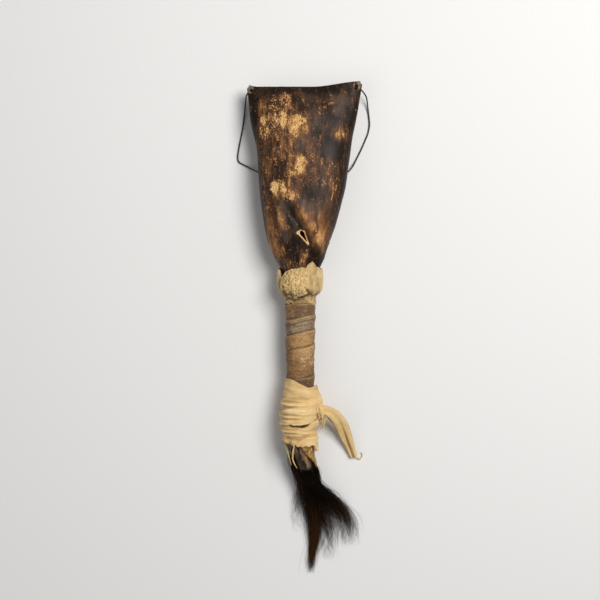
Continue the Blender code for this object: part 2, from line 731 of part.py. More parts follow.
# Loose stretches of the lacing cord, from the ear holes down to the first stitches: a route chosen by hand
CORD_RADIUS = 0.0005
LEFT_CORD = (
    (-0.0286, 0.1240, 0.0136),
    (-0.0287, 0.1240, 0.0118),
    (-0.0304, 0.1232, 0.0102),
    (-0.0320, 0.1204, 0.0078),
    (-0.0330, 0.1160, 0.0042),
    (-0.0336, 0.1110, 0.0016),
    (-0.0343, 0.1055, 0.0008),
    (-0.0353, 0.0995, 0.0008),
    (-0.0365, 0.0935, 0.0008),
    (-0.0374, 0.0885, 0.0008),
    (-0.0379, 0.0845, 0.0008),
    (-0.0374, 0.0819, 0.0008),
    (-0.0352, 0.0803, 0.0008),
    (-0.0322, 0.0788, 0.0010),
    (-0.0292, 0.0772, 0.0026),
    (-0.0266, 0.0759, 0.0046),
    (-0.0242, 0.0747, 0.0058),
)
RIGHT_CORD = (
    (0.0336, 0.1272, 0.0136),
    (0.0337, 0.1272, 0.0118),
    (0.0358, 0.1264, 0.0102),
    (0.0383, 0.1236, 0.0080),
    (0.0398, 0.1196, 0.0050),
    (0.0406, 0.1148, 0.0020),
    (0.0413, 0.1096, 0.0008),
    (0.0418, 0.1044, 0.0008),
    (0.0411, 0.0996, 0.0008),
    (0.0394, 0.0950, 0.0008),
    (0.0376, 0.0908, 0.0008),
    (0.0356, 0.0866, 0.0008),
    (0.0336, 0.0826, 0.0010),
    (0.0318, 0.0792, 0.0026),
    (0.0296, 0.0764, 0.0046),
    (0.0273, 0.0747, 0.0058),
)

# Side locks: radius, side, share of the main mass's length, and steps outwards and down from there
SIDE_LOCKS = {
    "hair_lock_right_upper": (
        0.0022, 1, 0.14, ((0.0040, 0.0060), (0.0085, 0.0120), (0.0125, 0.0200), (0.0150, 0.0300)),
    ),
    "hair_lock_right_lower": (
        0.0018, 1, 0.34, ((0.0030, 0.0065), (0.0055, 0.0140), (0.0065, 0.0215)),
    ),
    "hair_lock_left": (
        0.0015, -1, 0.13, ((0.0014, 0.0060), (0.0018, 0.0125)),
    ),
}

# Routes of the torn strips from the wrap's lower edge, chosen by hand
FRINGE_ROUTES = (
    ((-0.0094, -0.0002, 0.0036), (-0.0080, -0.0050, 0.0018), (-0.0060, -0.0112, 0.0002)),
    ((-0.0032, -0.0002, 0.0092), (-0.0048, -0.0066, 0.0068), (-0.0026, -0.0126, 0.0040)),
)


def make_all():
    make_head()
    make_stick()
    lashing_radius = NECK_RADIUS + SEAT_GAP + SINEW_RADIUS
    wind_cord("neck_lashing", lashing_radius, NECK_END + LASHING_INSET, LASHING_TURNS)
    make_collar()
    tie_radius = STICK_RADIUS + SEAT_GAP + COLLAR_WALL + SEAT_GAP + SINEW_RADIUS
    wind_cord("collar_tie", tie_radius, -WINDING_PITCH * TIE_TURNS / 2, TIE_TURNS)
    wind_strip(
        "grip_wrap", GRIP_HIDE, -GRIP_TOP, GRIP_LENGTH, GRIP_PITCH,
        GRIP_STRIP_WIDTH, GRIP_STRIP_THICKNESS, GRIP_INNER, -1,
    )
    wind_strip(
        "butt_wrap", PALE_HIDE, -WRAP_TOP, WRAP_LENGTH, WRAP_PITCH,
        WRAP_STRIP_WIDTH, WRAP_STRIP_THICKNESS, WRAP_INNER, 1,
    )
    make_knot()
    make_strap()
    make_tail_skin()
    make_tail_core()
    make_hair_main()
    for name, (radius, side, share, route) in SIDE_LOCKS.items():
        make_side_lock(name, radius, side, share, route)
    for number, route in enumerate(FRINGE_ROUTES, 1):
        points = [(x, y - WRAP_BOTTOM, AXIS_HEIGHT + z) for x, y, z in route]
        tube(f"fringe_strip_{number}", curve_points(points, 7), FRINGE_RADIUS, PALE_HIDE)
    for number, (radius, height) in enumerate(zip(PEBBLE_RADII, PEBBLE_HEIGHTS), 1):
        lane = (number - (len(PEBBLE_RADII) + 1) / 2) * PEBBLE_LANE + BELLY_SHIFT
        make_pebble(number, radius, lane, height)
    make_lacing("side_lacing_left", -1)
    make_lacing("side_lacing_right", 1)
    for name, route in (("loose_cord_left", LEFT_CORD), ("loose_cord_right", RIGHT_CORD)):
        tube(name, curve_points(route, 28), CORD_RADIUS, DARK_CORD)


def centre_on_origin():
    """Puts the middle of the rattle, leaving out its loose cords, over the origin."""
    bpy.context.view_layer.update()
    graph = bpy.context.evaluated_depsgraph_get()
    corners = []
    for obj in parts.objects:
        if obj.type == "EMPTY" or obj.name.startswith("loose_cord"):
            continue
        evaluated = obj.evaluated_get(graph)
        mesh = evaluated.to_mesh()
        corners += [evaluated.matrix_world @ vert.co for vert in mesh.vertices]
        evaluated.to_mesh_clear()
    spots = np.array(corners)
    middle = (spots.min(axis=0) + spots.max(axis=0)) / 2
    root.location = (-middle[0], -middle[1], 0.0)


make_all()
centre_on_origin()
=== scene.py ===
"""Looks of the rawhide rattle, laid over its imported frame.

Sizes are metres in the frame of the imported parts: +Y up the handle, +Z out of the rattle's front.
"""

import math

import bmesh
import bpy
import numpy as np
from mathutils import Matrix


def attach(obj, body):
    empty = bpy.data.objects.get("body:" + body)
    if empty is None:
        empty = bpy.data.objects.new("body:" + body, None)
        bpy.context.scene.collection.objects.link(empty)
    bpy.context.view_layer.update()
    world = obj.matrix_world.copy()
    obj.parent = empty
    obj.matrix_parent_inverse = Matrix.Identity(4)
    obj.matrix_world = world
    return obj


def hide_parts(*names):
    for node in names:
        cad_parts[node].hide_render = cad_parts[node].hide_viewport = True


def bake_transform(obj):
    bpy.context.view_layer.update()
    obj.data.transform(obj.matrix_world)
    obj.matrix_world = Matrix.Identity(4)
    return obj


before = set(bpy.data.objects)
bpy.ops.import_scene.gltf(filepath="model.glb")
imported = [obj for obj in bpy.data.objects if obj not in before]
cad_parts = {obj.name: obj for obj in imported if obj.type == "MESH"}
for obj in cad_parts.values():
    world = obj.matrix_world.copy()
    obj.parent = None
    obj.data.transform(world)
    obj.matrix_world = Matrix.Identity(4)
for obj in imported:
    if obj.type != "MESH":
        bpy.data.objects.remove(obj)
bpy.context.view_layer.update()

# Stage: a pale board seen from above, with the camera a little towards the head's end.
# A soft key light stands to the right of the head, and a weaker one and the room fill the shadows.
MM = 0.001
AXIS_Z = 14.2 * MM
VIEW_CENTRE = np.array([-2.7 * MM, 17.9 * MM, AXIS_Z])
VIEW_DISTANCE = 0.83
VIEW_TILT = math.radians(4)
VIEW_WIDTH = 0.360
SENSOR_WIDTH = 36
ROOM_COLOUR, ROOM_STRENGTH = (0.95, 0.97, 1.0, 1), 0.19


def add_object(name, data):
    """Puts a new object into the scene, at the origin and unturned."""
    added = bpy.data.objects.new(name, data)
    bpy.context.scene.collection.objects.link(added)
    return added


def add_light(name, place, aim, size, energy):
    """A square soft light that points at a place on the board."""
    data = bpy.data.lights.new(name, "AREA")
    data.size = size
    data.energy = energy
    light = add_object(name, data)
    light.location = place
    bearing = np.array(aim) - np.array(place)
    tilt = math.atan2(math.hypot(bearing[0], bearing[1]), -bearing[2])
    light.rotation_euler = (tilt, 0, math.atan2(bearing[1], bearing[0]) - math.pi / 2)


camera_data = bpy.data.cameras.new("camera")
camera_data.sensor_width = SENSOR_WIDTH
camera_data.lens = SENSOR_WIDTH * VIEW_DISTANCE / VIEW_WIDTH
camera = add_object("camera", camera_data)
camera.location = VIEW_CENTRE + VIEW_DISTANCE * np.array([0, math.sin(VIEW_TILT), math.cos(VIEW_TILT)])
camera.rotation_euler = (-VIEW_TILT, 0, 0)
bpy.context.scene.camera = camera
add_light("key_light", place=(0.42, 0.38, 0.90), aim=(0, 0.03, 0), size=0.5, energy=12.4)
add_light("fill_light", place=(-0.7, -0.3, 0.9), aim=(0, 0, 0), size=1.0, energy=2.6)
room = bpy.data.worlds.new("room")
room.use_nodes = True
room_light = room.node_tree.nodes["Background"]
room_light.inputs["Color"].default_value = ROOM_COLOUR
room_light.inputs["Strength"].default_value = ROOM_STRENGTH
bpy.context.scene.world = room
bpy.context.scene.view_settings.view_transform = "Standard"

# Board: a sheet of pale matt card under the rattle, wide enough to fill every view.
# It belongs to the stage, not to the rattle.
BOARD_HALF = 3.0


class Field:
    """A value over a surface: arithmetic on it adds Math nodes to its finish."""

    def __init__(self, finish, socket):
        self.finish = finish
        self.socket = socket

    def maths(self, operation, first, second):
        """Joins two values, fields or numbers, by one Math node."""
        return self.finish.node("ShaderNodeMath", {"operation": operation}, {0: first, 1: second})

    def __add__(self, other):
        return self.maths("ADD", self, other)

    __radd__ = __add__

    def __mul__(self, other):
        return self.maths("MULTIPLY", self, other)

    __rmul__ = __mul__

    def __sub__(self, other):
        return self.maths("SUBTRACT", self, other)

    def __rsub__(self, other):
        return self.maths("SUBTRACT", other, self)


class Finish:
    """One material while it is laid out: node() adds any node, and a few words name the common ones."""

    def __init__(self, name, roughness):
        self.material = bpy.data.materials.new(name)
        self.material.use_nodes = True
        self.tree = self.material.node_tree
        self.shader = self.tree.nodes["Principled BSDF"]
        self.set("Roughness", roughness)

    def put(self, socket, value):
        """Links a field to a socket, or sets a number or colour on it."""
        if isinstance(value, Field):
            self.tree.links.new(value.socket, socket)
        elif isinstance(value, tuple) and len(value) == 3 and len(socket.default_value) == 4:
            socket.default_value = (*value, 1.0)
        else:
            socket.default_value = value

    def set(self, name, value):
        """Puts a field, number or colour into one of the shader's own inputs."""
        self.put(self.shader.inputs[name], value)

    def node(self, kind, settings, values, out=0):
        """Adds a node: its type, its settings or ramp stops, values or links of its sockets, its output."""
        added = self.tree.nodes.new(kind)
        for name, value in settings.items():
            if name == "stops":
                ramp = added.color_ramp
                for k, (place, colour) in enumerate(value):
                    stop = ramp.elements[k] if k < 2 else ramp.elements.new(place)
                    stop.position = place
                    stop.color = (*colour, 1.0)
            else:
                setattr(added, name, value)
        for key, value in values.items():
            self.put(added.inputs[key], value)
        return Field(self, added.outputs[out])

    def attribute(self, name):
        """A value that the mesh carries at its points."""
        return self.node("ShaderNodeAttribute", {"attribute_name": name}, {}, "Fac")

    def noise(self, scale, detail=4.0, rough=0.55, warp=0.0, axes=(1, 1, 1)):
        """Noise of a scale per metre over the object's coordinates, with a factor for each axis."""
        spot = self.node("ShaderNodeTexCoord", {}, {}, "Object")
        spot = self.node("ShaderNodeMapping", {}, {"Vector": spot, "Scale": axes})
        values = {"Vector": spot, "Scale": scale, "Detail": detail, "Roughness": rough, "Distortion": warp}
        return self.node("ShaderNodeTexNoise", {}, values)

    def ramp(self, share, stops):
        """A colour through stops, each a share and a colour: the two ends first, then those between."""
        return self.node("ShaderNodeValToRGB", {"stops": stops}, {"Fac": share})

    def step(self, field, low, high):
        """0 below low, 1 above high, eased between."""
        settings = {"interpolation_type": "SMOOTHSTEP"}
        values = {"Value": field, "From Min": low, "From Max": high}
        return self.node("ShaderNodeMapRange", settings, values)

    def mix(self, share, first, second):
        """One colour passing into another."""
        return self.node("ShaderNodeMix", {"data_type": "RGBA"}, {0: share, 6: first, 7: second}, 2)

    def layers(self, colour, *covers):
        """A colour with others laid over it in turn, each given by its share and its colour."""
        for share, cover in covers:
            colour = self.mix(share, colour, cover)
        return colour

    def bump(self, height, depth):
        """Relief of a depth in metres, for the shader's normal."""
        values = {"Height": height, "Distance": depth, "Strength": 1.0}
        self.set("Normal", self.node("ShaderNodeBump", {}, values))

    def wear(self, piece):
        """Puts the material on a piece, in place of any that it had."""
        piece.data.materials.clear()
        piece.data.materials.append(self.material)


def add_values(mesh, name, values):
    """Writes a value per point onto a mesh, for its material to read."""
    layer = mesh.attributes.new(name, "FLOAT", "POINT")
    layer.data.foreach_set("value", values.reshape(-1).astype(np.float32))


def grid_mesh(name, points, around=False, along=False, fields=None):
    """A piece over a grid of points, rows by columns by XYZ, with its values per point as attributes.

    around joins the last column to the first, and along the last row to the first. Points that fall on
    each other, as at a pole or a closed edge, become one.
    """
    rows, columns = points.shape[:2]
    index = np.arange(rows * columns).reshape(rows, columns)
    index = np.hstack([index, index[:, :1]]) if around else index
    index = np.vstack([index, index[:1]]) if along else index
    corners = (index[:-1, :-1], index[:-1, 1:], index[1:, 1:], index[1:, :-1])
    quads = np.stack(corners, axis=-1).reshape(-1, 4)
    mesh = bpy.data.meshes.new(name)
    mesh.vertices.add(rows * columns)
    mesh.vertices.foreach_set("co", points.reshape(-1).astype(np.float32))
    mesh.loops.add(quads.size)
    mesh.loops.foreach_set("vertex_index", quads.reshape(-1).astype(np.int32))
    mesh.polygons.add(len(quads))
    mesh.polygons.foreach_set("loop_start", np.arange(0, quads.size, 4, dtype=np.int32))
    for field, values in (fields or {}).items():
        add_values(mesh, field, np.broadcast_to(values, (rows, columns)))
    mesh.update(calc_edges=True)
    shell = bmesh.new()
    shell.from_mesh(mesh)
    bmesh.ops.remove_doubles(shell, verts=shell.verts, dist=1e-7)
    bmesh.ops.recalc_face_normals(shell, faces=shell.faces)
    shell.to_mesh(mesh)
    shell.free()
    mesh.shade_smooth()
    return add_object(name, mesh)


board_corners = BOARD_HALF * np.array([[(-1, -1, 0), (1, -1, 0)], [(-1, 1, 0), (1, 1, 0)]])
board = grid_mesh("board", board_corners)
board_finish = Finish("board_paper", 0.85)
board_grain = board_finish.noise(900.0, detail=2.0)
board_finish.set("Base Color", board_finish.mix(board_grain, (0.66, 0.65, 0.63), (0.72, 0.71, 0.69)))
board_finish.wear(board)

# Loose cords: two stretches of the dark two-ply lacing cord that have pulled out of the side seams.
# Each hangs from its ear's hole, lies on the board, and goes back into the seam at the first stitch.
# Routes: millimetres to the right of the handle's axis, over its tie and over the board.
AXIS_X = -2.5 * MM
TIE_Y = 19.1 * MM
CORD_DIAMETER = 1.0 * MM
CORD_LAY = 2.6 * MM
CORD_SIDES = 14
CORD_POINTS, CORD_PATH_STEP = 240, 6
LEFT_CORD = (
    (-29.3, 123.5, 13.6), (-29.4, 123.5, 11.8), (-31.0, 122.6, 10.2), (-32.4, 120.0, 7.8),
    (-33.0, 116.0, 4.2), (-33.6, 111.0, 1.6), (-34.3, 105.5, 0.8), (-35.3, 99.5, 0.8),
    (-36.5, 93.5, 0.8), (-37.4, 88.5, 0.8), (-37.9, 84.5, 0.8), (-37.4, 81.9, 0.8),
    (-35.2, 80.3, 0.8), (-32.2, 78.8, 1.0), (-29.2, 77.2, 2.6), (-26.6, 75.9, 4.6), (-24.2, 74.7, 5.8),
)
RIGHT_CORD = (
    (33.1, 125.5, 13.6), (33.2, 125.5, 11.8), (35.4, 124.8, 10.2), (38.1, 122.4, 8.0),
    (39.8, 119.6, 5.0), (40.6, 114.8, 2.0), (41.3, 109.6, 0.8), (41.8, 104.4, 0.8),
    (41.1, 99.6, 0.8), (39.4, 95.0, 0.8), (37.6, 90.8, 0.8), (35.6, 86.6, 0.8),
    (33.6, 82.6, 1.0), (31.8, 79.2, 2.6), (29.6, 76.4, 4.6), (27.3, 74.7, 5.8),
)


def through(stations, at):
    """Values at many places on smooth curves through stations, whose first number is the place.

    Between two stations a value stays between theirs: its slope is nought at a peak or a level stretch.
    """
    rows = np.array(stations, float)
    steps = np.diff(rows[:, 0])[:, None]
    rises = np.diff(rows[:, 1:], axis=0) / steps
    before, after = rises[:-1], rises[1:]
    uphill = before * after > 0
    inner = np.where(uphill, 2 * before * after / np.where(uphill, before + after, 1.0), 0.0)
    slopes = np.vstack([rises[:1], inner, rises[-1:]])
    at = np.asarray(at, float)
    k = np.clip(np.searchsorted(rows[:, 0], at) - 1, 0, len(steps) - 1)
    t = ((at - rows[k, 0]) / steps[k, 0])[..., None]
    return (
        rows[k, 1:] * (2 * t**3 - 3 * t**2 + 1)
        + slopes[k] * steps[k] * (t**3 - 2 * t**2 + t)
        + rows[k + 1, 1:] * (3 * t**2 - 2 * t**3)
        + slopes[k + 1] * steps[k] * (t**3 - t**2)
    )


def run_along(path):
    """The distance from a path's start to each of its points."""
    steps = np.linalg.norm(np.diff(path, axis=0), axis=1)
    return np.concatenate([[0], np.cumsum(steps)])


def along_route(route, count):
    """Points spread evenly along a smooth curve through the points of a route."""
    route = np.array(route, float)
    places = run_along(route)
    return through(np.column_stack([places, route]), np.linspace(0, places[-1], count))


def sweep(path, outline, level=(0.0, 0.0, 1.0)):
    """A profile carried along a path: outline is points by (side, up), the same or one for each point.

    The side direction keeps square to level, so that a profile doesn't turn as its path bends.
    """
    ahead = np.gradient(path, axis=0)
    ahead /= np.linalg.norm(ahead, axis=1, keepdims=True)
    side = np.cross(ahead, level)
    steep = np.linalg.norm(side, axis=1) < 0.05
    side[steep] = [1.0, 0.0, 0.0]
    side /= np.linalg.norm(side, axis=1, keepdims=True)
    up = np.cross(side, ahead)
    outline = np.broadcast_to(outline, (len(path),) + np.shape(outline)[-2:])
    return path[:, None] + outline[..., :1] * side[:, None] + outline[..., 1:] * up[:, None]


def twisted_cord(path, diameter, lay, level=(0.0, 0.0, 1.0)):
    """Two plies laid round each other: a two-lobed outline that turns once in each lay along the path.

    Both its ends close to a point.
    """
    angle = np.linspace(0, 2 * np.pi, CORD_SIDES, endpoint=False)
    twist = 2 * np.pi * run_along(path)[:, None] / lay
    radius = diameter / 2 * (0.82 + 0.18 * np.cos(2 * (angle - twist)))
    points = sweep(path, np.stack([radius * np.cos(angle), radius * np.sin(angle)], axis=-1), level)
    points[[0, -1]] = path[[0, -1], None]
    return points


cord_finish = Finish("dark_cord", 0.75)
cord_wave = cord_finish.noise(1500.0, detail=3.0)
cord_finish.set("Base Color", cord_finish.mix(cord_wave, (0.006, 0.005, 0.005), (0.035, 0.030, 0.027)))
cord_finish.bump(cord_wave, 0.12 * MM)
for cord_name, cord_route in (("loose_cord_left", LEFT_CORD), ("loose_cord_right", RIGHT_CORD)):
    cord_path = along_route(np.array(cord_route) * MM + np.array([AXIS_X, TIE_Y, 0]), CORD_POINTS)
    cord = grid_mesh(cord_name + "_twist", twisted_cord(cord_path, CORD_DIAMETER, CORD_LAY), around=True)
    cord_finish.wear(cord)
    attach(cord, "rattle")
    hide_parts(cord_name)

# Head: one rawhide, wetted, folded over its top edge, stretched on a form and dried, then smoked and oiled.
# Its sides are laced, the top corners stand out as ears, and a lapped slit runs up the front from the neck.
# Stations: height over the tie, width, midline's shift, depth in front, depth behind, squareness.
HEAD_STATIONS = np.array((
    (4.0, 17.0, 0.0, 8.5, 8.5, 2.0), (11.0, 17.0, 0.0, 8.5, 8.5, 2.0),
    (17.5, 22.8, 0.0, 11.2, 11.2, 2.0), (28.8, 33.6, -0.8, 15.2, 13.8, 2.1),
    (46.8, 44.2, 0.0, 17.2, 15.2, 2.3), (73.8, 53.4, 1.5, 16.6, 15.2, 2.5),
    (88.8, 56.4, 1.8, 14.4, 13.0, 2.5), (97.8, 59.4, 1.7, 12.4, 11.0, 2.4),
    (106.8, 63.4, 1.8, 10.0, 8.8, 2.4), (115.8, 66.0, 2.3, 6.4, 5.8, 2.3),
    (124.6, 68.6, 2.5, 2.1, 2.1, 2.2),
)) * np.array([MM, MM, MM, MM, MM, 1.0])
HEAD_ROWS, FOLD_ROWS, FRONT_COLUMNS, BACK_COLUMNS = 290, 4, 240, 84
FOLD_HEIGHT = 124.6 * MM
FOLD_ROUNDING = 1.2 * MM
EAR_RISE, EAR_LENGTH, EAR_WIDTH = 3.2 * MM, 26 * MM, 30 * MM
EAR_ROUNDING = 1.5 * MM
LEFT_TAB_RISE, LEFT_TAB_WIDTH = 1.1 * MM, 6 * MM
EAR_HOLES = np.array([(-31.8, 142.6), (30.6, 144.6)]) * MM
EAR_HOLE_RADIUS = 1.0 * MM
EAR_RIMS = EAR_HOLES + np.array([(-0.5, 0.7), (0.7, 0.6)]) * MM
EYELET_TOP = np.array([-2.4, 59.6]) * MM
EYELET_FOOT = np.array([2.9, 50.5]) * MM
EYELET_HALF_WIDTH = 1.25 * MM
EYELET_DEPTH = 5 * MM
EYELET_CURL, EYELET_CURL_RADIUS = np.array([-3.7, 58.5]) * MM, 0.7 * MM
# Shares of the eyelet's length where its round top ends and where its sides meet.
EYELET_ROUND, EYELET_CLOSED = 0.14, 0.72
FOLD_VALLEY = np.array([
    (-12.7, 77.9), (-8.6, 71.4), (-4.5, 64.3), (-0.9, 58.4), (2.6, 51.4), (5.6, 44.2), (6.2, 38.8),
]) * MM
FOLD_RIDGE = np.array([
    (-8.6, 80.2), (-3.9, 74.9), (0.8, 67.9), (4.9, 60.2), (7.9, 52.0), (9.1, 44.8),
]) * MM
# Patches on the front, of wear, smoke, painted shade and painted sheen:
# place, half width, half height, lean in degrees, strength.
WORN_PATCHES = (
    (-11.6, 136.3, 3.6, 4.8, 0, 0.62), (-9.3, 138.7, 1.3, 2.4, 0, 0.92),
    (-18.2, 136.9, 2.4, 1.8, 0, 0.52), (-24.1, 133.8, 2.4, 3.6, 0, 0.46),
    (-16.9, 125.9, 1.7, 5.4, 0, 1.00), (-12.5, 125.9, 1.9, 5.7, 0, 1.12),
    (-24.6, 124.7, 3.0, 2.9, 0, 1.00), (-20.5, 124.1, 1.8, 3.6, 0, 0.50),
    (-22.8, 118.1, 3.6, 5.4, 0, 0.76), (-18.7, 121.1, 1.8, 3.0, 0, 0.68),
    (-15.1, 115.1, 2.4, 2.4, 0, 0.45), (-12.8, 118.1, 1.8, 3.0, 0, 0.42),
    (-2.7, 124.7, 4.2, 3.6, 0, 1.05), (0.9, 125.9, 1.5, 2.4, 0, 0.65),
    (-6.2, 118.7, 2.7, 4.5, -12, 1.00), (0.3, 119.9, 2.1, 3.6, 0, 0.55),
    (21.2, 116.4, 2.8, 2.4, 0, 0.66), (-3.0, 96.1, 2.9, 4.0, 0, 1.10), (-2.1, 102.0, 2.6, 1.9, 0, 1.05),
    (-0.3, 99.9, 3.0, 0.8, 0, 0.85), (-8.0, 97.9, 2.4, 1.8, 0, 0.52), (-9.2, 93.7, 1.5, 2.7, 0, 0.72),
    (-16.8, 100.8, 0.9, 1.8, 0, 0.65), (-22.1, 102.6, 1.3, 1.2, 0, 0.55),
    (-19.2, 101.4, 0.8, 1.8, 0, 0.45), (-24.5, 94.3, 2.4, 6.6, 0, 0.42),
    (-17.4, 85.4, 2.9, 3.9, 0, 1.20), (-13.9, 87.6, 1.8, 1.7, 0, 0.92),
    (-12.1, 84.3, 1.5, 4.2, 22, 1.10), (-9.2, 80.4, 3.4, 3.2, 0, 1.00), (-5.1, 79.6, 1.8, 2.4, 0, 0.52),
    (-23.9, 80.8, 0.9, 3.0, -8, 0.46), (-13.9, 67.9, 1.6, 5.4, 14, 0.48),
    (-10.9, 61.4, 2.1, 1.2, 30, 0.46), (-21.2, 74.3, 1.2, 4.8, 6, 0.44), (6.7, 59.0, 1.3, 7.2, 14, 0.72),
    (8.5, 52.5, 1.2, 1.8, 0, 0.55), (-5.2, 58.2, 1.8, 0.7, -15, 0.40), (0.2, 46.0, 1.8, 2.4, -10, 0.60),
    (-8.0, 41.5, 2.4, 1.4, 0, 0.62), (-1.5, 41.2, 1.2, 1.8, -10, 0.55),
    (-12.1, 48.4, 1.2, 3.6, 20, 0.60), (-20.4, 51.4, 1.8, 5.4, 8, 0.38),
    (-16.3, 43.6, 1.8, 3.6, 10, 0.40), (8.0, 130.2, 5.4, 3.6, 0, 0.31), (13.4, 135.7, 4.8, 3.0, 0, 0.33),
    (23.0, 141.2, 2.1, 1.0, -15, 0.58), (5.0, 98.5, 2.4, 8.4, 0, 0.30), (10.3, 99.6, 1.8, 3.6, 0, 0.33),
    (15.0, 95.5, 3.0, 8.4, 0, 0.27), (12.0, 89.0, 4.8, 3.6, 0, 0.31), (18.5, 85.5, 1.8, 4.8, 0, 0.28),
    (3.2, 113.3, 3.0, 6.0, 0, 0.27), (-0.9, 89.0, 3.6, 3.6, 0, 0.30), (-13.3, 106.2, 3.0, 3.6, 0, 0.33),
    (-16.6, 127.0, 9.6, 12.0, 0, 0.50),
)
AMBER_PATCHES = (
    (6.7, 60.4, 4.8, 9.0, 10, 1.15), (11.0, 57.5, 3.8, 7.8, -8, 0.52), (5.8, 66.0, 6.0, 6.6, 0, 0.98),
    (0.2, 69.6, 3.6, 6.0, 22, 0.52), (-22.6, 92.0, 3.4, 15.0, 0, 0.26),
    (-20.6, 71.0, 3.6, 10.0, 6, 0.34), (-19.2, 52.5, 3.6, 8.4, 12, 0.92),
    (-12.7, 44.8, 4.8, 4.8, 0, 0.62), (-19.3, 124.1, 9.6, 10.8, 0, 0.36),
    (-11.6, 135.1, 4.8, 5.4, 0, 0.38), (-24.5, 107.3, 3.6, 10.8, 0, 0.30),
    (-3.3, 97.3, 6.0, 6.6, 0, 0.66), (5.0, 99.6, 3.0, 9.6, 0, 0.50), (11.9, 96.1, 3.6, 8.4, 0, 0.20),
    (-9.8, 83.7, 7.2, 5.4, 0, 0.58), (-3.3, 121.1, 6.6, 7.8, 0, 0.62), (21.5, 116.3, 4.2, 3.6, 0, 0.95),
    (-0.9, 87.3, 3.6, 6.0, 0, 0.25), (-9.5, 110.5, 4.5, 4.5, 0, 0.34), (3.2, 122.5, 3.0, 5.0, 0, 0.34),
    (-12.0, 79.6, 7.2, 3.8, 0, 0.62), (-0.3, 46.0, 3.0, 3.6, 0, 0.50), (2.0, 74.3, 6.0, 3.6, 15, 0.45),
    (9.8, 50.2, 2.4, 3.0, 0, 0.25), (-13.9, 67.3, 2.4, 6.0, 14, 0.80),
)
# Soot and shade: smoke-dark patches, and painted shade down both sides where the bag turns away.
SOOT_AND_SHADE_PATCHES = (
    (-6.8, 48.4, 4.8, 6.6, 0, 0.95), (-12.1, 54.9, 4.2, 4.2, 0, 0.60), (5.6, 46.6, 3.0, 5.4, 0, 1.00),
    (-2.7, 52.5, 3.0, 4.2, 25, 0.70), (-14.5, 96.7, 4.2, 5.4, 0, 0.42), (-14.5, 77.0, 4.8, 2.4, 0, 0.45),
    (-7.4, 64.9, 2.4, 5.4, 35, 0.58), (24.4, 94.3, 3.6, 21.6, -4, 0.75),
    (28.1, 124.1, 3.6, 12.0, 0, 0.85), (-2.7, 143.7, 37.2, 3.0, 0, 0.72),
    (-31.2, 126.5, 3.6, 19.2, 0, 1.00), (13.2, 109.1, 3.6, 4.8, 0, 0.50),
    (-21.4, 107.3, 4.4, 4.2, 0, 0.40), (3.2, 56.1, 1.2, 5.4, 14, 0.45),
    (-20.5, 111.5, 4.0, 2.4, 0, 0.25), (-5.1, 135.7, 3.0, 5.4, 0, 0.60),
    (19.6, 70.2, 3.0, 13.2, -8, 0.55), (-27.6, 80.0, 2.4, 26.0, 3, 0.95), (1.2, 80.0, 2.8, 6.0, 0, 0.70),
    (-18.0, 72.0, 1.8, 4.8, 10, 0.50), (15.1, 124.1, 3.0, 5.4, 0, 0.35),
    (-24.7, 129.6, 4.8, 1.5, 0, 0.60), (-7.5, 129.6, 3.0, 1.5, 0, 0.50),
    (23.2, 106.2, 3.6, 8.4, 0, 0.60), (-17.4, 63.2, 1.8, 3.6, 0, 0.45), (7.9, 41.2, 6.0, 3.0, 0, 0.90),
)
# Painted sheen: greyish patches laid into the colour for the oiled skin's reflections.
SHEEN_PATCHES = (
    (8.0, 125.9, 6.6, 5.4, 0, 0.55), (21.1, 136.3, 5.4, 3.0, -10, 0.85),
    (19.9, 130.2, 3.0, 3.0, 0, 0.95), (-2.7, 110.9, 2.7, 4.2, 0, 0.85), (-12.1, 56.7, 3.0, 3.6, 0, 0.75),
    (7.9, 74.3, 8.4, 4.2, 0, 0.50), (-12.1, 74.9, 4.2, 2.4, 25, 0.65), (13.8, 107.3, 3.6, 4.2, 0, 0.45),
    (10.2, 83.7, 5.4, 7.2, 0, 0.35), (-17.4, 106.2, 4.8, 2.4, 0, 0.30), (4.5, 137.5, 8.4, 3.0, 0, 0.30),
    (-13.3, 68.5, 1.8, 5.4, 16, 0.85), (-12.8, 118.7, 1.8, 3.6, 0, 0.55), (7.5, 70.9, 4.8, 2.4, 0, 0.30),
    (1.4, 113.3, 3.0, 7.2, 0, 0.35),
)
CALM_PATCHES = ((9.5, 64.0, 8.5, 12.0, -12, 1.0), (-9.5, 64.0, 4.5, 10.0, 30, 0.7))
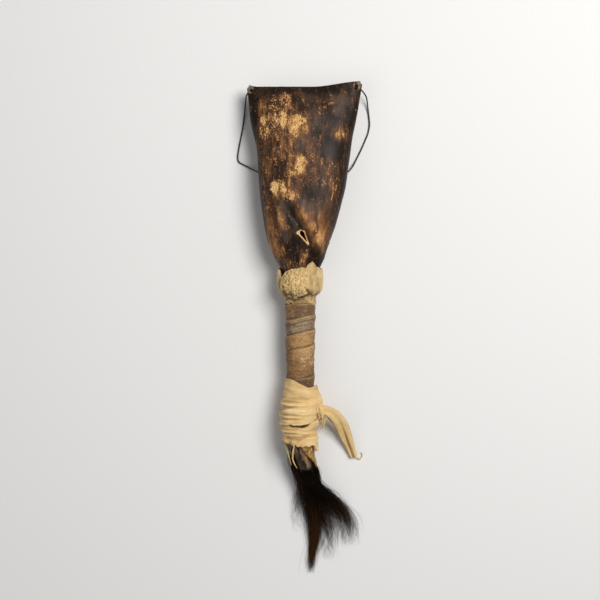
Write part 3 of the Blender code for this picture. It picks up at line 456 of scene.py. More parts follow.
# Scratches through the smoked skin: points of a line, strength.
SCRATCHES = (
    (((-8.9, 113.9), (-7.7, 109.1), (-6.5, 105.0)), 0.9),
    (((-6.5, 113.9), (-7.4, 109.7), (-7.7, 106.8)), 0.6),
    (((-11.6, 112.7), (-11.0, 107.3), (-7.4, 103.8), (-4.5, 103.2)), 0.5),
    (((16.7, 87.9), (16.4, 81.4), (15.5, 77.6)), 1), (((-17.1, 81.7), (-15.3, 78.2)), 1),
    (((-13.6, 53.7), (-12.7, 49.6), (-11.0, 46.0)), 0.7), (((9.1, 115.7), (9.4, 112.7)), 0.9),
    (((-21.6, 120.5), (-19.2, 114.5), (-18.3, 101.4)), 0.5), (((-23.9, 82.6), (-25.0, 79.0)), 0.8),
    (((-9.8, 99.4), (-7.4, 97.9), (-4.5, 97.3)), 0.7), (((-4.5, 104.4), (-2.1, 104.7), (-0.3, 103.8)), 0.7),
    (((-9.5, 68.5), (-6.8, 67.0), (-4.5, 63.2)), 0.6), (((-24.5, 90.8), (-23.9, 83.7)), 0.5),
    (((-1.5, 137.5), (-0.0, 134.4)), 0.6), (((16.3, 128.3), (17.5, 130.8)), 0.5),
    (((8.0, 133.2), (9.2, 130.2)), 0.5), (((7.3, 89.6), (9.1, 91.1)), 0.7),
    (((10.5, 89.6), (12.6, 86.7)), 0.7), (((-3.9, 137.5), (-5.1, 132.6)), 0.4),
    (((-9.8, 48.1), (-8.0, 48.7)), 0.9), (((17.6, 60.8), (16.1, 55.5), (14.1, 50.8)), 0.5),
    (((-11.3, 120.5), (-10.4, 113.3)), 0.6), (((-23.4, 122.9), (-21.6, 119.3), (-19.8, 115.1)), 0.6),
    (((5.5, 104.4), (5.5, 98.5)), 0.4), (((10.8, 102.6), (10.2, 97.9)), 0.5),
    (((6.1, 96.7), (6.7, 90.8)), 0.45), (((-14.0, 138.7), (-13.4, 135.7)), 0.5),
    (((24.5, 122.3), (24.8, 119.3)), 0.5), (((-17.4, 101.4), (-16.2, 97.9)), 0.6),
    (((-9.8, 94.3), (-8.6, 88.4)), 0.5), (((-19.2, 74.3), (-15.6, 73.7)), 0.5),
    (((10.3, 116.3), (12.7, 121.1), (14.5, 126.5)), 0.4), (((2.0, 86.1), (2.6, 81.4)), 0.4),
    (((-9.2, 89.6), (-9.2, 86.1)), 0.6), (((3.2, 77.9), (5.5, 77.9)), 0.4),
    (((-26.2, 89.6), (-25.6, 86.1)), 0.6), (((20.2, 89.6), (20.8, 83.7)), 0.4),
)


def smooth(share):
    """0 below 0, 1 above 1, and an even S between, on whole arrays."""
    share = np.clip(share, 0, 1)
    return share * share * (3 - 2 * share)


def bell(away, width):
    """A bell curve: 1 in its middle, and about a third at a width away."""
    return np.exp(-((away / width) ** 2))


def lattice_noise(points, size, seed):
    """Smooth noise from 0 to 1: values hashed from the corners of a lattice of a size, eased between them."""
    spots = np.asarray(points) / size
    cell = np.floor(spots).astype(np.int64)
    ease = spots - cell
    ease = ease * ease * (3 - 2 * ease)
    total = np.zeros(spots.shape[:-1])
    for corner in np.ndindex(2, 2, 2):
        key = cell + np.array(corner)
        mixed = key[..., 0] * 374761393 + key[..., 1] * 668265263 + key[..., 2] * 1442695041 + seed * 97531
        mixed = ((mixed & 0xFFFFFFFF) ^ ((mixed & 0xFFFFFFFF) >> 13)) * 1274126177 & 0xFFFFFFFF
        value = ((mixed ^ (mixed >> 16)) & 0xFFFF) / 65535.0
        total += value * np.prod(np.where(np.array(corner), ease, 1 - ease), axis=-1)
    return total


def rough_noise(points, size, seed, octaves=4):
    """Noise from -0.5 to 0.5: lattice noise added to itself at half the size and height, by octaves."""
    heights = [0.5**k for k in range(octaves)]
    layers = [h * lattice_noise(points, size * h, seed + k) for k, h in enumerate(heights)]
    return sum(layers) / sum(heights) - 0.5


def head_surface(heights, angles):
    """The bag's skin: a squared oval at each height, with the ears rising towards the fold.

    The oval's half width and depths come from the stations, and its corners from the squareness.
    """
    width, shift, front, back, square = np.moveaxis(through(HEAD_STATIONS, heights), -1, 0)[..., None]
    across = np.sign(np.cos(angles)) * np.abs(np.cos(angles)) ** (2 / square)
    outward = np.sign(np.sin(angles)) * np.abs(np.sin(angles)) ** (2 / square)
    into_corner = np.clip((heights[:, None] - FOLD_HEIGHT) / EAR_ROUNDING + 1, 0, 1)
    drawn_in = EAR_ROUNDING * (1 - np.sqrt(1 - 0.96 * into_corner**2))
    x = shift + (width / 2 - drawn_in) * across
    z = np.maximum(np.where(outward > 0, front, back) * outward, -AXIS_Z)
    near_fold = smooth((heights[:, None] - FOLD_HEIGHT + EAR_LENGTH) / EAR_LENGTH)
    right_ear = smooth((x - shift - width[-1] / 2 + EAR_WIDTH) / EAR_WIDTH)
    left_tab = smooth((shift + LEFT_TAB_WIDTH - width[-1] / 2 - x) / LEFT_TAB_WIDTH)
    y = heights[:, None] + (EAR_RISE * right_ear + LEFT_TAB_RISE * left_tab) * near_fold
    return np.stack([x + AXIS_X, y + TIE_Y, z + AXIS_Z], axis=-1)


def on_axis(y):
    """The places on the handle's axis at these y."""
    return np.stack(np.broadcast_arrays(AXIS_X, y, AXIS_Z), axis=-1)


def surface_normals(points, inside):
    """Outward directions over a grid that closes on itself, away from an inside point."""
    down = np.gradient(points, axis=0)
    wide = np.concatenate([points[:, -1:], points, points[:, :1]], axis=1)
    across = (wide[:, 2:] - wide[:, :-2]) / 2
    normal = np.cross(across, down)
    normal /= np.linalg.norm(normal, axis=-1, keepdims=True) + 1e-12
    outward = np.sum(normal * (points - inside), axis=-1, keepdims=True)
    return np.where(outward < 0, -normal, normal)


def patch_mask(spots, patches, ragged):
    """The strongest of a list of leaning ovals at each place, ragged by a noise of -0.5 to 0.5."""
    mask = np.zeros(spots.shape[:-1])
    for x, y, half_x, half_y, lean, strength in patches:
        turn = math.radians(lean)
        dx, dy = spots[..., 0] - x * MM, spots[..., 1] - y * MM
        u = (dx * math.cos(turn) + dy * math.sin(turn)) / (half_x * MM)
        v = (dy * math.cos(turn) - dx * math.sin(turn)) / (half_y * MM)
        mask = np.maximum(mask, strength * smooth(1.3 - 0.75 * np.hypot(u, v) + 0.8 * ragged))
    return mask


def distance_to_line(spots, line):
    """The distance from each place to a line of points, in the front's plane."""
    away = np.full(spots.shape[:-1], np.inf)
    for start, end in zip(line[:-1], line[1:]):
        along = np.clip(((spots - start) @ (end - start)) / ((end - start) @ (end - start)), 0, 1)
        away = np.minimum(away, np.linalg.norm(spots - start - along[..., None] * (end - start), axis=-1))
    return away


def distance_to_spots(places, spots):
    """The distance from each place to the nearest of a few spots, in the front's plane."""
    return np.min([np.linalg.norm(places - spot, axis=-1) for spot in spots], axis=0)


head_heights = np.linspace(HEAD_STATIONS[0, 0], FOLD_HEIGHT, HEAD_ROWS)
front_angles = np.linspace(0, np.pi, FRONT_COLUMNS, endpoint=False)
back_angles = np.linspace(np.pi, 2 * np.pi, BACK_COLUMNS, endpoint=False)
head_angles = np.concatenate([front_angles, back_angles])[None, :]
head_points = head_surface(head_heights, head_angles)
head_out = surface_normals(head_points, on_axis(head_heights + TIE_Y)[:, None])
head_flat = head_points[..., :2]
head_front = smooth((head_points[..., 2] - AXIS_Z) / (3 * MM) + 0.5)

# Relief, in millimetres: slow dents, upright wrinkles, pits, gathers at the neck, the fold above the slit.
head_above = head_points[..., 1] - TIE_Y
slow_dents = rough_noise(head_points, 24 * MM, seed=11, octaves=3)
wrinkles = rough_noise(head_points * [1.0, 0.30, 1.0], 4.5 * MM, seed=23)
pitting = rough_noise(head_points, 1.6 * MM, seed=37, octaves=3)
calm = patch_mask(head_flat, CALM_PATCHES, pitting) * head_front
gathers = np.abs(rough_noise(head_points * [1.0, 0.12, 1.0], 3.2 * MM, seed=41, octaves=3))
neck_share = smooth((48 * MM - head_above) / (26 * MM))
fold_share = smooth((head_above - 96 * MM) / (22 * MM))
valley_away = distance_to_line(head_flat, FOLD_VALLEY)
ridge_away = distance_to_line(head_flat, FOLD_RIDGE)
relief = 1.5 * slow_dents * (1 - 0.6 * fold_share) + 0.42 * wrinkles * (1 - 0.7 * calm)
relief = relief + 0.10 * pitting - 1.6 * gathers * neck_share
relief += head_front * (0.9 * bell(ridge_away, 3.4 * MM) - 0.8 * bell(valley_away, 2.4 * MM))

# The eyelet's place: how far along it, how far to its side, and how far outside its rim.
eyelet_length = np.linalg.norm(EYELET_FOOT - EYELET_TOP)
eyelet_ahead = (EYELET_FOOT - EYELET_TOP) / eyelet_length
eyelet_along = (head_flat - EYELET_TOP) @ eyelet_ahead
eyelet_aside = (head_flat - EYELET_TOP) @ np.array([-eyelet_ahead[1], eyelet_ahead[0]])
eyelet_share = eyelet_along / eyelet_length
eyelet_taper = np.clip((EYELET_CLOSED - eyelet_share) / (EYELET_CLOSED - EYELET_ROUND), 0, 1)
eyelet_open = EYELET_HALF_WIDTH * np.sqrt(np.clip(eyelet_share / EYELET_ROUND, 0, 1)) * eyelet_taper
eyelet_beyond = np.hypot(np.minimum(eyelet_along, 0), np.maximum(eyelet_along - 1.02 * eyelet_length, 0))
rim_away = np.hypot(np.maximum(np.abs(eyelet_aside) - eyelet_open, 0), eyelet_beyond)
hole = smooth((eyelet_open - np.abs(eyelet_aside)) / (0.45 * MM) + 0.3) * (eyelet_open > 0) * head_front
past_hole = 1 - smooth(hole * 2.5)
lips = smooth(1.3 - rim_away / (1.1 * MM)) * past_hole * smooth((1.06 - eyelet_share) / 0.3) * head_front
curl_away = np.abs(np.linalg.norm(head_flat - EYELET_CURL, axis=-1) - EYELET_CURL_RADIUS)
lips = np.maximum(lips, smooth(1.5 - curl_away / (0.4 * MM)) * past_hole * head_front)
ear_hole = smooth((EAR_HOLE_RADIUS - distance_to_spots(head_flat, EAR_HOLES)) / (0.4 * MM) + 0.5)
relief = relief * (1 - lips) + 0.55 * lips - EYELET_DEPTH / MM * hole - 1.1 * ear_hole
head_points = head_points + head_out * relief[..., None] * MM
head_points[..., 2] = np.maximum(head_points[..., 2], 0.25 * MM)

# Tone, from 0 for soot and painted shade through smoke brown to amber, in broad patches and upright streaks.
# Worn says where the smoked skin has flaked off, and scratches cut through it.
ragged = rough_noise(head_points * [1.0, 0.55, 1.0], 3.4 * MM, seed=53)
blotches = rough_noise(head_points * [1.0, 0.5, 1.0], 9 * MM, seed=59)
streaks = rough_noise(head_points * [1.0, 0.28, 1.0], 2.2 * MM, seed=61, octaves=3)
worn = patch_mask(head_flat, WORN_PATCHES, ragged) * head_front
amber = patch_mask(head_flat, AMBER_PATCHES, ragged) * head_front
soot_and_shade = patch_mask(head_flat, SOOT_AND_SHADE_PATCHES, ragged) * head_front
# Painted shade: a dark line along the valley of the fold above the slit.
soot_and_shade = np.maximum(soot_and_shade, 0.45 * bell(valley_away, 1.6 * MM) * head_front)
left_share = smooth(0.5 - (head_points[..., 0] - AXIS_X) / (24 * MM))
tone = 0.21 + 0.05 * left_share + 0.32 * blotches
tone = tone + 0.46 * streaks * (1 - 0.65 * np.maximum(amber, calm)) - 0.26 * soot_and_shade
tone = tone + amber * (0.26 + 0.35 * ragged + 0.25 * streaks) + 0.09 * worn
scratched = np.zeros_like(tone)
broken = smooth(0.75 + 3.0 * pitting) * head_front
for line, strength in SCRATCHES:
    scratch_away = distance_to_line(head_flat, np.array(line) * MM)
    scratched = np.maximum(scratched, strength * smooth(1.5 - scratch_away / (0.30 * MM)) * broken)
tone = tone + (0.80 - tone) * 0.75 * scratched
ear_rim = smooth(1.9 - distance_to_spots(head_flat, EAR_RIMS) / (1.5 * MM)) * (1 - ear_hole)
ear_rim = ear_rim * smooth(0.55 + 2.6 * ragged + 3.0 * pitting)
lip_tone = 1.02 + 0.3 * ragged - 0.14 * smooth(eyelet_aside / (0.8 * MM))
tone = np.clip(tone * (1 - lips) + lip_tone * lips, 0, 1)
thin_skin = -0.10 + 0.30 * left_share + 0.5 * blotches - 0.2 * calm
worn = np.maximum(0.92 * worn, thin_skin) * (1 - 0.75 * soot_and_shade) * (1 - lips)
# Painted shade: the eyelet and the ear holes are painted near black inside.
pit = np.maximum(hole, ear_hole)
# Painted sheen: the sheen patches as a grey cast in the colour, less where the tone is pale.
sheen = patch_mask(head_flat, SHEEN_PATCHES, ragged) * head_front * (1 - smooth((tone - 0.45) / 0.2))

# The fold rounds over the top to one line, on which the front's columns meet the back's fewer ones.
# The neck closes on the stick inside the collar.
over = np.linspace(1 / FOLD_ROWS, 1, FOLD_ROWS) * np.pi / 2
rounding = np.repeat(head_points[-1:], FOLD_ROWS, axis=0)
rounding[..., 1] += FOLD_ROUNDING * np.sin(over)[:, None]
rounding[..., 2] = AXIS_Z + (head_points[-1, :, 2] - AXIS_Z) * np.cos(over)[:, None]
meeting = np.round(np.linspace(FRONT_COLUMNS, 0, BACK_COLUMNS + 1)).astype(int)
front_meets = np.round(np.linspace(BACK_COLUMNS, 0, FRONT_COLUMNS, endpoint=False)).astype(int)
rounding[-1] = rounding[-1, np.concatenate([meeting[front_meets], meeting[:BACK_COLUMNS]])]
neck_end = head_points[:1].copy()
neck_end[..., [0, 2]] = np.array([AXIS_X, AXIS_Z])
head_points = np.concatenate([neck_end, head_points, rounding])
head_fields = {"tone": tone, "worn": worn, "sheen": sheen, "pit": pit, "pale": 0.9 * ear_rim, "calm": calm}
head_fields = {name: np.pad(mask, ((1, FOLD_ROWS), (0, 0)), "edge") for name, mask in head_fields.items()}
head = grid_mesh("smoked_rawhide_bag", head_points, around=True, fields=head_fields)

head_finish = Finish("smoked_rawhide", 0.5)
grain = head_finish.noise(520.0, detail=6.0, rough=0.62, axes=(1, 0.42, 1))
speck = head_finish.noise(1500.0, rough=0.6, axes=(1, 0.6, 1))
hairline = head_finish.noise(900.0, detail=2.0, rough=0.5, warp=0.3, axes=(1, 0.07, 1))
flakes = head_finish.noise(640.0, rough=0.62, axes=(1, 0.5, 1))
head_worn = head_finish.attribute("worn")
flaking = flakes + 1.50 * (speck - 0.5) + 0.65 * (grain - 0.5) + 0.50 * head_worn
chips = head_finish.step(flaking, 0.70, 0.98)
head_rough = 1 - 0.6 * head_finish.attribute("calm")
head_tone = head_finish.attribute("tone") + head_rough * (0.32 * (grain - 0.5) + 0.48 * (speck - 0.5))
head_tone = head_tone + 0.15 * head_finish.step(hairline, 0.61, 0.66) * head_finish.step(grain, 0.42, 0.62)
chip_tone = 0.46 + 0.32 * head_worn + 0.60 * (grain - 0.5) + 0.90 * (speck - 0.5)
head_tone = head_tone + chips * (chip_tone - head_tone)
head_colour = head_finish.ramp(head_tone, (
    (0.00, (0.009, 0.005, 0.003)), (1.00, (0.75, 0.53, 0.26)), (0.16, (0.023, 0.012, 0.006)),
    (0.34, (0.082, 0.038, 0.019)), (0.48, (0.198, 0.084, 0.028)), (0.62, (0.365, 0.182, 0.060)),
    (0.78, (0.560, 0.330, 0.120)),
))
# Over the colour: a painted sheen, the ear rims' paler wear, and painted shade inside the holes.
head_finish.set("Base Color", head_finish.layers(
    head_colour,
    (0.42 * head_finish.attribute("sheen") * (1 - chips), (0.105, 0.076, 0.062)),
    (head_finish.attribute("pale"), (0.360, 0.270, 0.180)),
    (head_finish.attribute("pit"), (0.003, 0.002, 0.002)),
))
head_finish.set("Roughness", 0.34 + 0.24 * speck + 0.18 * chips)
head_finish.set("Specular IOR Level", 0.12)
head_finish.bump(0.7 * grain + 0.6 * speck - 0.35 * chips, 0.26 * MM)
head_finish.wear(head)
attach(head, "rattle")
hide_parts("rawhide_head")

# Side lacing: the same dark cord, sewn over the two edges of the hide down each side.
# Its zigzag starts at the belly, where the loose stretch goes in, and ends at the base.
LACE_TOP, LACE_BOTTOM = 73.8 * MM, 30.0 * MM
LACE_STITCHES = 11
LACE_HALF_STITCH = math.radians(8)
LACE_STAND_OFF = 0.8 * MM
LACE_POINTS = 420
SEAM_ANGLE = math.radians(28)

lace_steps = np.arange(4 * LACE_STITCHES + 1)
lace_heights = np.linspace(LACE_TOP, LACE_BOTTOM, len(lace_steps))
lace_swing = LACE_HALF_STITCH * np.sin(np.pi * lace_steps / 2)
for lace_name, seam in (("side_lacing_left", np.pi + SEAM_ANGLE), ("side_lacing_right", -SEAM_ANGLE)):
    lace_route = head_surface(lace_heights, (seam + lace_swing)[None, :])[lace_steps, lace_steps]
    lace_out = lace_route - on_axis(lace_route[:, 1])
    lace_route += LACE_STAND_OFF * lace_out / np.linalg.norm(lace_out, axis=1, keepdims=True)
    lace_path = along_route(lace_route, LACE_POINTS)
    lace_twist = twisted_cord(lace_path, CORD_DIAMETER, CORD_LAY, level=(1, 0, 0))
    lace = grid_mesh(lace_name + "_twist", lace_twist, around=True)
    cord_finish.wear(lace)
    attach(lace, "rattle")
    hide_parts(lace_name)

# Sinew: the neck's lashing on the stick, which the collar hides, and the tie that draws the collar in.
# Both are one twisted strand of sinew, wound round in a close helix.
SINEW_DIAMETER = 1.0 * MM
SINEW_LAY = 3.4 * MM
SINEW_PITCH = 1.55 * MM
SINEW_TURN_POINTS = 160


def around_axis(radius, angle, height):
    """Places round the handle: angle 0 is the front and a quarter turn the right, heights over the tie."""
    radius, angle, height = np.broadcast_arrays(radius, angle, height)
    across, outward = radius * np.sin(angle), radius * np.cos(angle)
    return np.stack([AXIS_X + across, TIE_Y + height, AXIS_Z + outward], axis=-1)


sinew_finish = Finish("sinew", 0.55)
sinew_fibre = sinew_finish.noise(1800.0, detail=3.0)
sinew_finish.set("Base Color", sinew_finish.mix(sinew_fibre, (0.07, 0.040, 0.016), (0.26, 0.165, 0.070)))
sinew_finish.bump(sinew_fibre, 0.1 * MM)
for sinew_name, sinew_radius, sinew_start, sinew_turns in (
    ("neck_lashing", 9.3 * MM, 5.2 * MM, 3), ("collar_tie", 8.85 * MM, -1.55 * MM, 2),
):
    sinew_turn = np.linspace(0, sinew_turns, SINEW_TURN_POINTS * sinew_turns)
    sinew_path = around_axis(sinew_radius, 2 * np.pi * sinew_turn, sinew_start + SINEW_PITCH * sinew_turn)
    sinew_twist = twisted_cord(sinew_path, SINEW_DIAMETER, SINEW_LAY, level=(0, 1, 0))
    sinew = grid_mesh(sinew_name + "_twist", sinew_twist, around=True)
    sinew_finish.wear(sinew)
    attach(sinew, "rattle")
    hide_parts(sinew_name)

# Collar: a cuff of soft pale hide slipped over the lashed neck and gathered under the tie.
# Its front is worn to curled grains, a smooth lapped end rises to a point, and its ends part at the left.
# Stations: height over the tie, inner and outer radius.
COLLAR_STATIONS = np.array((
    (-3.0, 7.3, 9.5), (-1.8, 6.95, 9.2), (0.0, 6.95, 8.9), (1.6, 7.2, 10.2),
    (4.2, 9.9, 12.6), (7.6, 10.2, 13.6), (12.5, 10.8, 13.9), (18.2, 12.0, 13.5),
)) * MM
COLLAR_TOP, COLLAR_BOTTOM = 18.2 * MM, -3.0 * MM
COLLAR_ROWS, LINING_ROWS, COLLAR_COLUMNS = 130, 36, 420
# Its upper edge: bearing in degrees, rise in millimetres.
COLLAR_EDGE = (
    (-180, -0.3), (-110, -0.5), (-88, -0.9), (-80, -1.3), (-76, -3.2), (-71, -6.2), (-62, -5.8),
    (-50, -4.2), (-40, -2.2), (-26, -0.8), (-8, 0.0), (8, 0.4), (13.5, 0.2), (18, 1.8), (24, 3.0),
    (30, 3.7), (35, 2.6), (43, 0.7), (55, 0.3), (66, -1.2), (90, -0.9), (180, -0.3),
)
COLLAR_SEAM = math.radians(20)
COLLAR_SLIT, COLLAR_SLIT_WIDTH = math.radians(-69), math.radians(3.6)
# Crevices of the gathers, seen from the front: points across and over the tie, half width, strength.
COLLAR_CREVICES = (
    (((-1.4, 0.4), (0.4, 1.1), (2.2, 1.5), (4.0, 1.9)), 0.75, 1.00),
    (((-5.3, -0.2), (-3.5, -0.7), (-1.4, -0.2)), 0.70, 0.95),
    (((4.0, 1.9), (5.2, 3.4), (4.3, 5.4)), 0.60, 0.90), (((5.2, 3.4), (6.4, 2.5)), 0.50, 0.80),
    (((-9.8, 4.4), (-8.0, 2.3)), 0.65, 0.90), (((7.0, 1.3), (9.4, 2.0)), 0.60, 0.65),
    (((-10.8, 7.8), (-9.5, 6.9)), 0.40, 0.70), (((2.8, 7.2), (3.1, 6.3)), 0.35, 0.50),
    (((8.9, 16.8), (9.3, 15.4)), 0.55, 0.40), (((-7.1, 4.2), (-6.2, 1.9), (-5.6, 0.1)), 0.30, 0.50),
    (((-8.0, 2.3), (-6.8, 0.4), (-5.3, -0.2)), 0.40, 0.60),
)
PLEAT_SIZE = 2.6 * MM
HEM_ROUNDING = np.array([0, 0.45 * MM, 0])


def hump(angle, centre, half_width):
    """A smooth hump of 1 at a bearing, falling to 0 a half width away."""
    away = np.abs((angle - centre + np.pi) % (2 * np.pi) - np.pi)
    return smooth(1 - away / half_width)


collar_above = np.linspace(COLLAR_BOTTOM, COLLAR_TOP, COLLAR_ROWS)[:, None]
lining_above = np.linspace(COLLAR_TOP, COLLAR_BOTTOM, LINING_ROWS)[:, None]
collar_angle = np.linspace(-np.pi, np.pi, COLLAR_COLUMNS, endpoint=False)[None, :]
outer_radius = through(COLLAR_STATIONS, collar_above)[..., 1]
inner_radius = through(COLLAR_STATIONS, lining_above)[..., 0]
edge_round = around_axis(13 * MM, collar_angle, 0)
hem_round = around_axis(9 * MM, collar_angle, 0)
collar_edge = through(COLLAR_EDGE, np.degrees(collar_angle))[..., 0] * MM
collar_edge = collar_edge + 0.9 * MM * rough_noise(edge_round, 2 * MM, seed=71, octaves=3)
hem_drop = 5.0 * MM * rough_noise(hem_round, 2.2 * MM, seed=75, octaves=3)
flare = 0.35 * np.maximum(0, collar_edge)
collar_skin = around_axis(outer_radius, collar_angle, collar_above)

# Relief, in millimetres: curled grains, the lapped end, pleats under the tie, creases, slit and crevices.
grain_shift = 4.5 * MM * rough_noise(collar_skin, 2.8 * MM, seed=73, octaves=2)
grain_places = collar_skin * [1.0, 0.6, 1.0] + grain_shift[..., None]
curls = 1 - np.minimum(1, np.abs(rough_noise(grain_places, 1.10 * MM, seed=79, octaves=2)) / 0.17)
curled = smooth((COLLAR_SEAM - collar_angle) / 0.10) * (1 - hump(collar_angle, COLLAR_SLIT - 0.3, 0.35))
curled = curled + smooth((collar_angle - 1.9) / 0.4)
curled = curled * smooth((collar_above + 0.6 * MM) / (2.4 * MM))
lapped = smooth((collar_angle - COLLAR_SEAM) / 0.07) * smooth((1.5 - collar_angle) / 0.8)
gathered = bell(collar_above - 2.0 * MM, 2.8 * MM)
pleats = 4.4 * rough_noise(collar_skin * [1.0, 0.35, 1.0], PLEAT_SIZE, seed=83, octaves=3)
soft_creases = rough_noise(collar_skin * [1.0, 0.4, 1.0], 3.0 * MM, seed=89, octaves=3)
slit = bell(collar_angle - COLLAR_SLIT, COLLAR_SLIT_WIDTH) * smooth((collar_above - 3 * MM) / (6 * MM))
collar_relief = 0.78 * (curls - 0.5) * curled + 0.45 * lapped + 0.75 * pleats * gathered
collar_relief = collar_relief + 0.7 * soft_creases * (1 - 0.7 * lapped) - 1.2 * slit
crevice_wander = 2.6 * rough_noise(collar_skin, 1.4 * MM, seed=91, octaves=2)
collar_seen = collar_skin[..., :2] - np.array([AXIS_X, TIE_Y])
crevices = np.zeros(collar_skin.shape[:-1])
for line, half_width, strength in COLLAR_CREVICES:
    crevice_away = distance_to_line(collar_seen, np.array(line) * MM) / (half_width * MM)
    crevices = np.maximum(crevices, strength * smooth(1.5 + crevice_wander - crevice_away))
crevices = crevices * (np.cos(collar_angle) > 0)
collar_relief = collar_relief - crevices


def collar_wall(radius, above):
    """One face of the cuff: its upper part rises and flares with the edge, its foot has a ragged hem."""
    rise = smooth((above / COLLAR_TOP - 0.3) / 0.7)
    drop = smooth(-above / (3 * MM))
    return around_axis(radius + flare * rise, collar_angle, above + collar_edge * rise + hem_drop * drop)


def whole_cuff(outer, hem_value, rim_value, lining_value):
    """A value over all the cuff's rows, in the order of its points: hem, outer face, rim, lining."""
    others = ((1, hem_value), (1, rim_value), (LINING_ROWS, lining_value))
    hem_row, rim_row, within = (np.full((rows, COLLAR_COLUMNS), value) for rows, value in others)
    return np.concatenate([hem_row, outer, rim_row, within])


outside = collar_wall(outer_radius + collar_relief * MM, collar_above)
lining = collar_wall(inner_radius, lining_above)
rim = (outside[-1:] + lining[:1]) / 2 + HEM_ROUNDING
hem = (outside[:1] + lining[-1:]) / 2 - HEM_ROUNDING

# Grime lies low down and over the lapped end, and the hem, the lining and a line down the seam are darker.
# Painted shade darkens the hollows between the grains, the pleats under the tie and the slit.
grime = rough_noise(collar_skin * [1.0, 0.7, 1.0], 1.8 * MM, seed=87, octaves=3)
low_share = smooth((6.5 * MM - collar_above) / (5 * MM)) * smooth((collar_above + 1.4 * MM) / (1.5 * MM))
grime_and_shade = 0.50 * curled * smooth((0.36 - curls) / 0.3) + low_share * 0.7 * smooth((grime + 0.03) / 0.12)
grime_and_shade = grime_and_shade + lapped * (0.52 + 1.6 * grime)
grime_and_shade = np.maximum(grime_and_shade, 0.70 * gathered * smooth(0.1 - 1.1 * pleats))
darker_hem = smooth((0.6 * MM - collar_above) / (1.6 * MM)) * (0.58 + 2.2 * (soft_creases + 0.05))
seam_line = bell(collar_angle - COLLAR_SEAM, 0.05) * smooth((collar_above - 1 * MM) / (3 * MM))
grime_and_shade = np.clip(np.maximum.reduce([grime_and_shade, darker_hem, 0.25 * seam_line, 0.95 * slit]), 0, 1)
# Painted shade: the crevices of the gathers and the depth of the slit, darkest of all.
cleft_shade = np.maximum(crevices, 0.8 * slit**2)
crest = hump(collar_angle, COLLAR_SLIT - 0.35, 0.32) * smooth(collar_above / (4 * MM))
collar_points = np.concatenate([hem, outside, rim, lining])
collar_fields = {"grime_and_shade": whole_cuff(grime_and_shade, hem_value=0.6, rim_value=0.1, lining_value=0.5),
                 "cleft_shade": whole_cuff(cleft_shade, 0, 0, 0), "crest": whole_cuff(crest, 0, 0, 0)}
collar = grid_mesh("gathered_hide_cuff", collar_points, around=True, along=True, fields=collar_fields)


def pale_hide(name, light, dark, grime_and_shade_colour):
    """Soft pale hide: a nap of fine fibres, broad stains, lighter crests, and grime and painted shade in
    creases and clefts.
    """
    finish = Finish(name, 0.8)
    nap = finish.noise(2600.0, rough=0.65)
    stain = finish.noise(140.0, rough=0.6, warp=0.4)
    cloud = finish.noise(520.0, detail=3.0)
    finish.set("Base Color", finish.layers(
        dark,
        (finish.step(0.7 * stain + 0.3 * cloud, 0.34, 0.66), light),
        (0.25 * nap, dark),
        # Crests: a painted highlight on the wrap's folds and a paler band on the collar. Creases: grime and
        # painted shade. Clefts: painted shade.
        (0.50 * finish.attribute("crest"), (0.84, 0.63, 0.33)),
        (finish.attribute("grime_and_shade") * (0.55 + 0.45 * cloud), grime_and_shade_colour),
        (0.95 * finish.attribute("cleft_shade"), (0.085, 0.045, 0.009)),
    ))
    finish.set("Sheen Weight", 0.12)
    finish.set("Sheen Roughness", 0.5)
    finish.set("Specular IOR Level", 0.25)
    finish.bump(0.7 * nap + 0.6 * cloud, 0.18 * MM)
    return finish


collar_finish = pale_hide("worn_pale_hide", light=(0.70, 0.50, 0.235), dark=(0.56, 0.385, 0.165),
                          grime_and_shade_colour=(0.13, 0.070, 0.022))
collar_finish.wear(collar)
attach(collar, "rattle")
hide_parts("neck_collar")

# Grip: one strip of tanned hide wound down the stick, each turn lapped over the one above.
# Hands have polished it grey at the top and rubbed it to a rough tan lower down.
GRIP_THICKNESS = 1.1 * MM
GRIP_PITCH, GRIP_STRIP_WIDTH = 9.0 * MM, 12.4 * MM
GRIP_TOP, GRIP_BOTTOM, GRIP_FIRST_EDGE = -2.6 * MM, -57.5 * MM, 6.4 * MM
GRIP_FIRST_TURN, GRIP_LAST_TURN = 0.25, 6.9
GRIP_ROWS, GRIP_ACROSS = 780, 30
# Its outer face: turn, then the radii in millimetres where the next turn covers it and at its lapped edge.
GRIP_FACES = (
    (0.25, 8.75, 9.35), (3.0, 8.45, 9.05), (3.95, 8.35, 8.92), (4.2, 8.30, 8.52), (5.4, 8.18, 8.34),
    (5.65, 8.15, 8.65), (6.9, 8.1, 8.45),
)
# The turns whose lap hands have rubbed flat: from the front of the third to the left of the fourth.
GRIP_RUBBED_FROM, GRIP_RUBBED_TO = 3.05, 4.55


def wound_strip(name, turns, upper, lower, upper_radius, lower_radius,
                thickness, hand, across, relief, fields):
    """A strip wound on the handle: rows along its turns, and columns round its flat section.

    Its upper and lower edges have a height and a radius at each turn, and its two ends close to a point.
    The relief of its outer face and its fields are worked out from places on it, the share across it,
    angles and heights.
    """
    share = np.concatenate([np.linspace(0, 1, across), np.linspace(1, 0, across)])[None, :]
    outer = np.arange(2 * across)[None, :] < across
    edge = smooth(np.minimum(share, 1 - share) / 0.07)
    height = lower[:, None] + (upper - lower)[:, None] * share
    radius = lower_radius[:, None] + (upper_radius - lower_radius)[:, None] * smooth((share - 0.3) / 0.6)
    angle = hand * 2 * np.pi * turns[:, None] + 0 * share
    bulge = relief(around_axis(radius, angle, height), share, angle, height)
    radius = np.where(outer, radius + bulge * edge - 0.45 * thickness * (1 - edge), radius - thickness)
    points = around_axis(radius, angle, height)
    values = {key: field(points, share, angle, height) for key, field in fields.items()}
    points[[0, -1]] = points[[0, -1]].mean(axis=1, keepdims=True)
    return grid_mesh(name, points, around=True, fields=values)


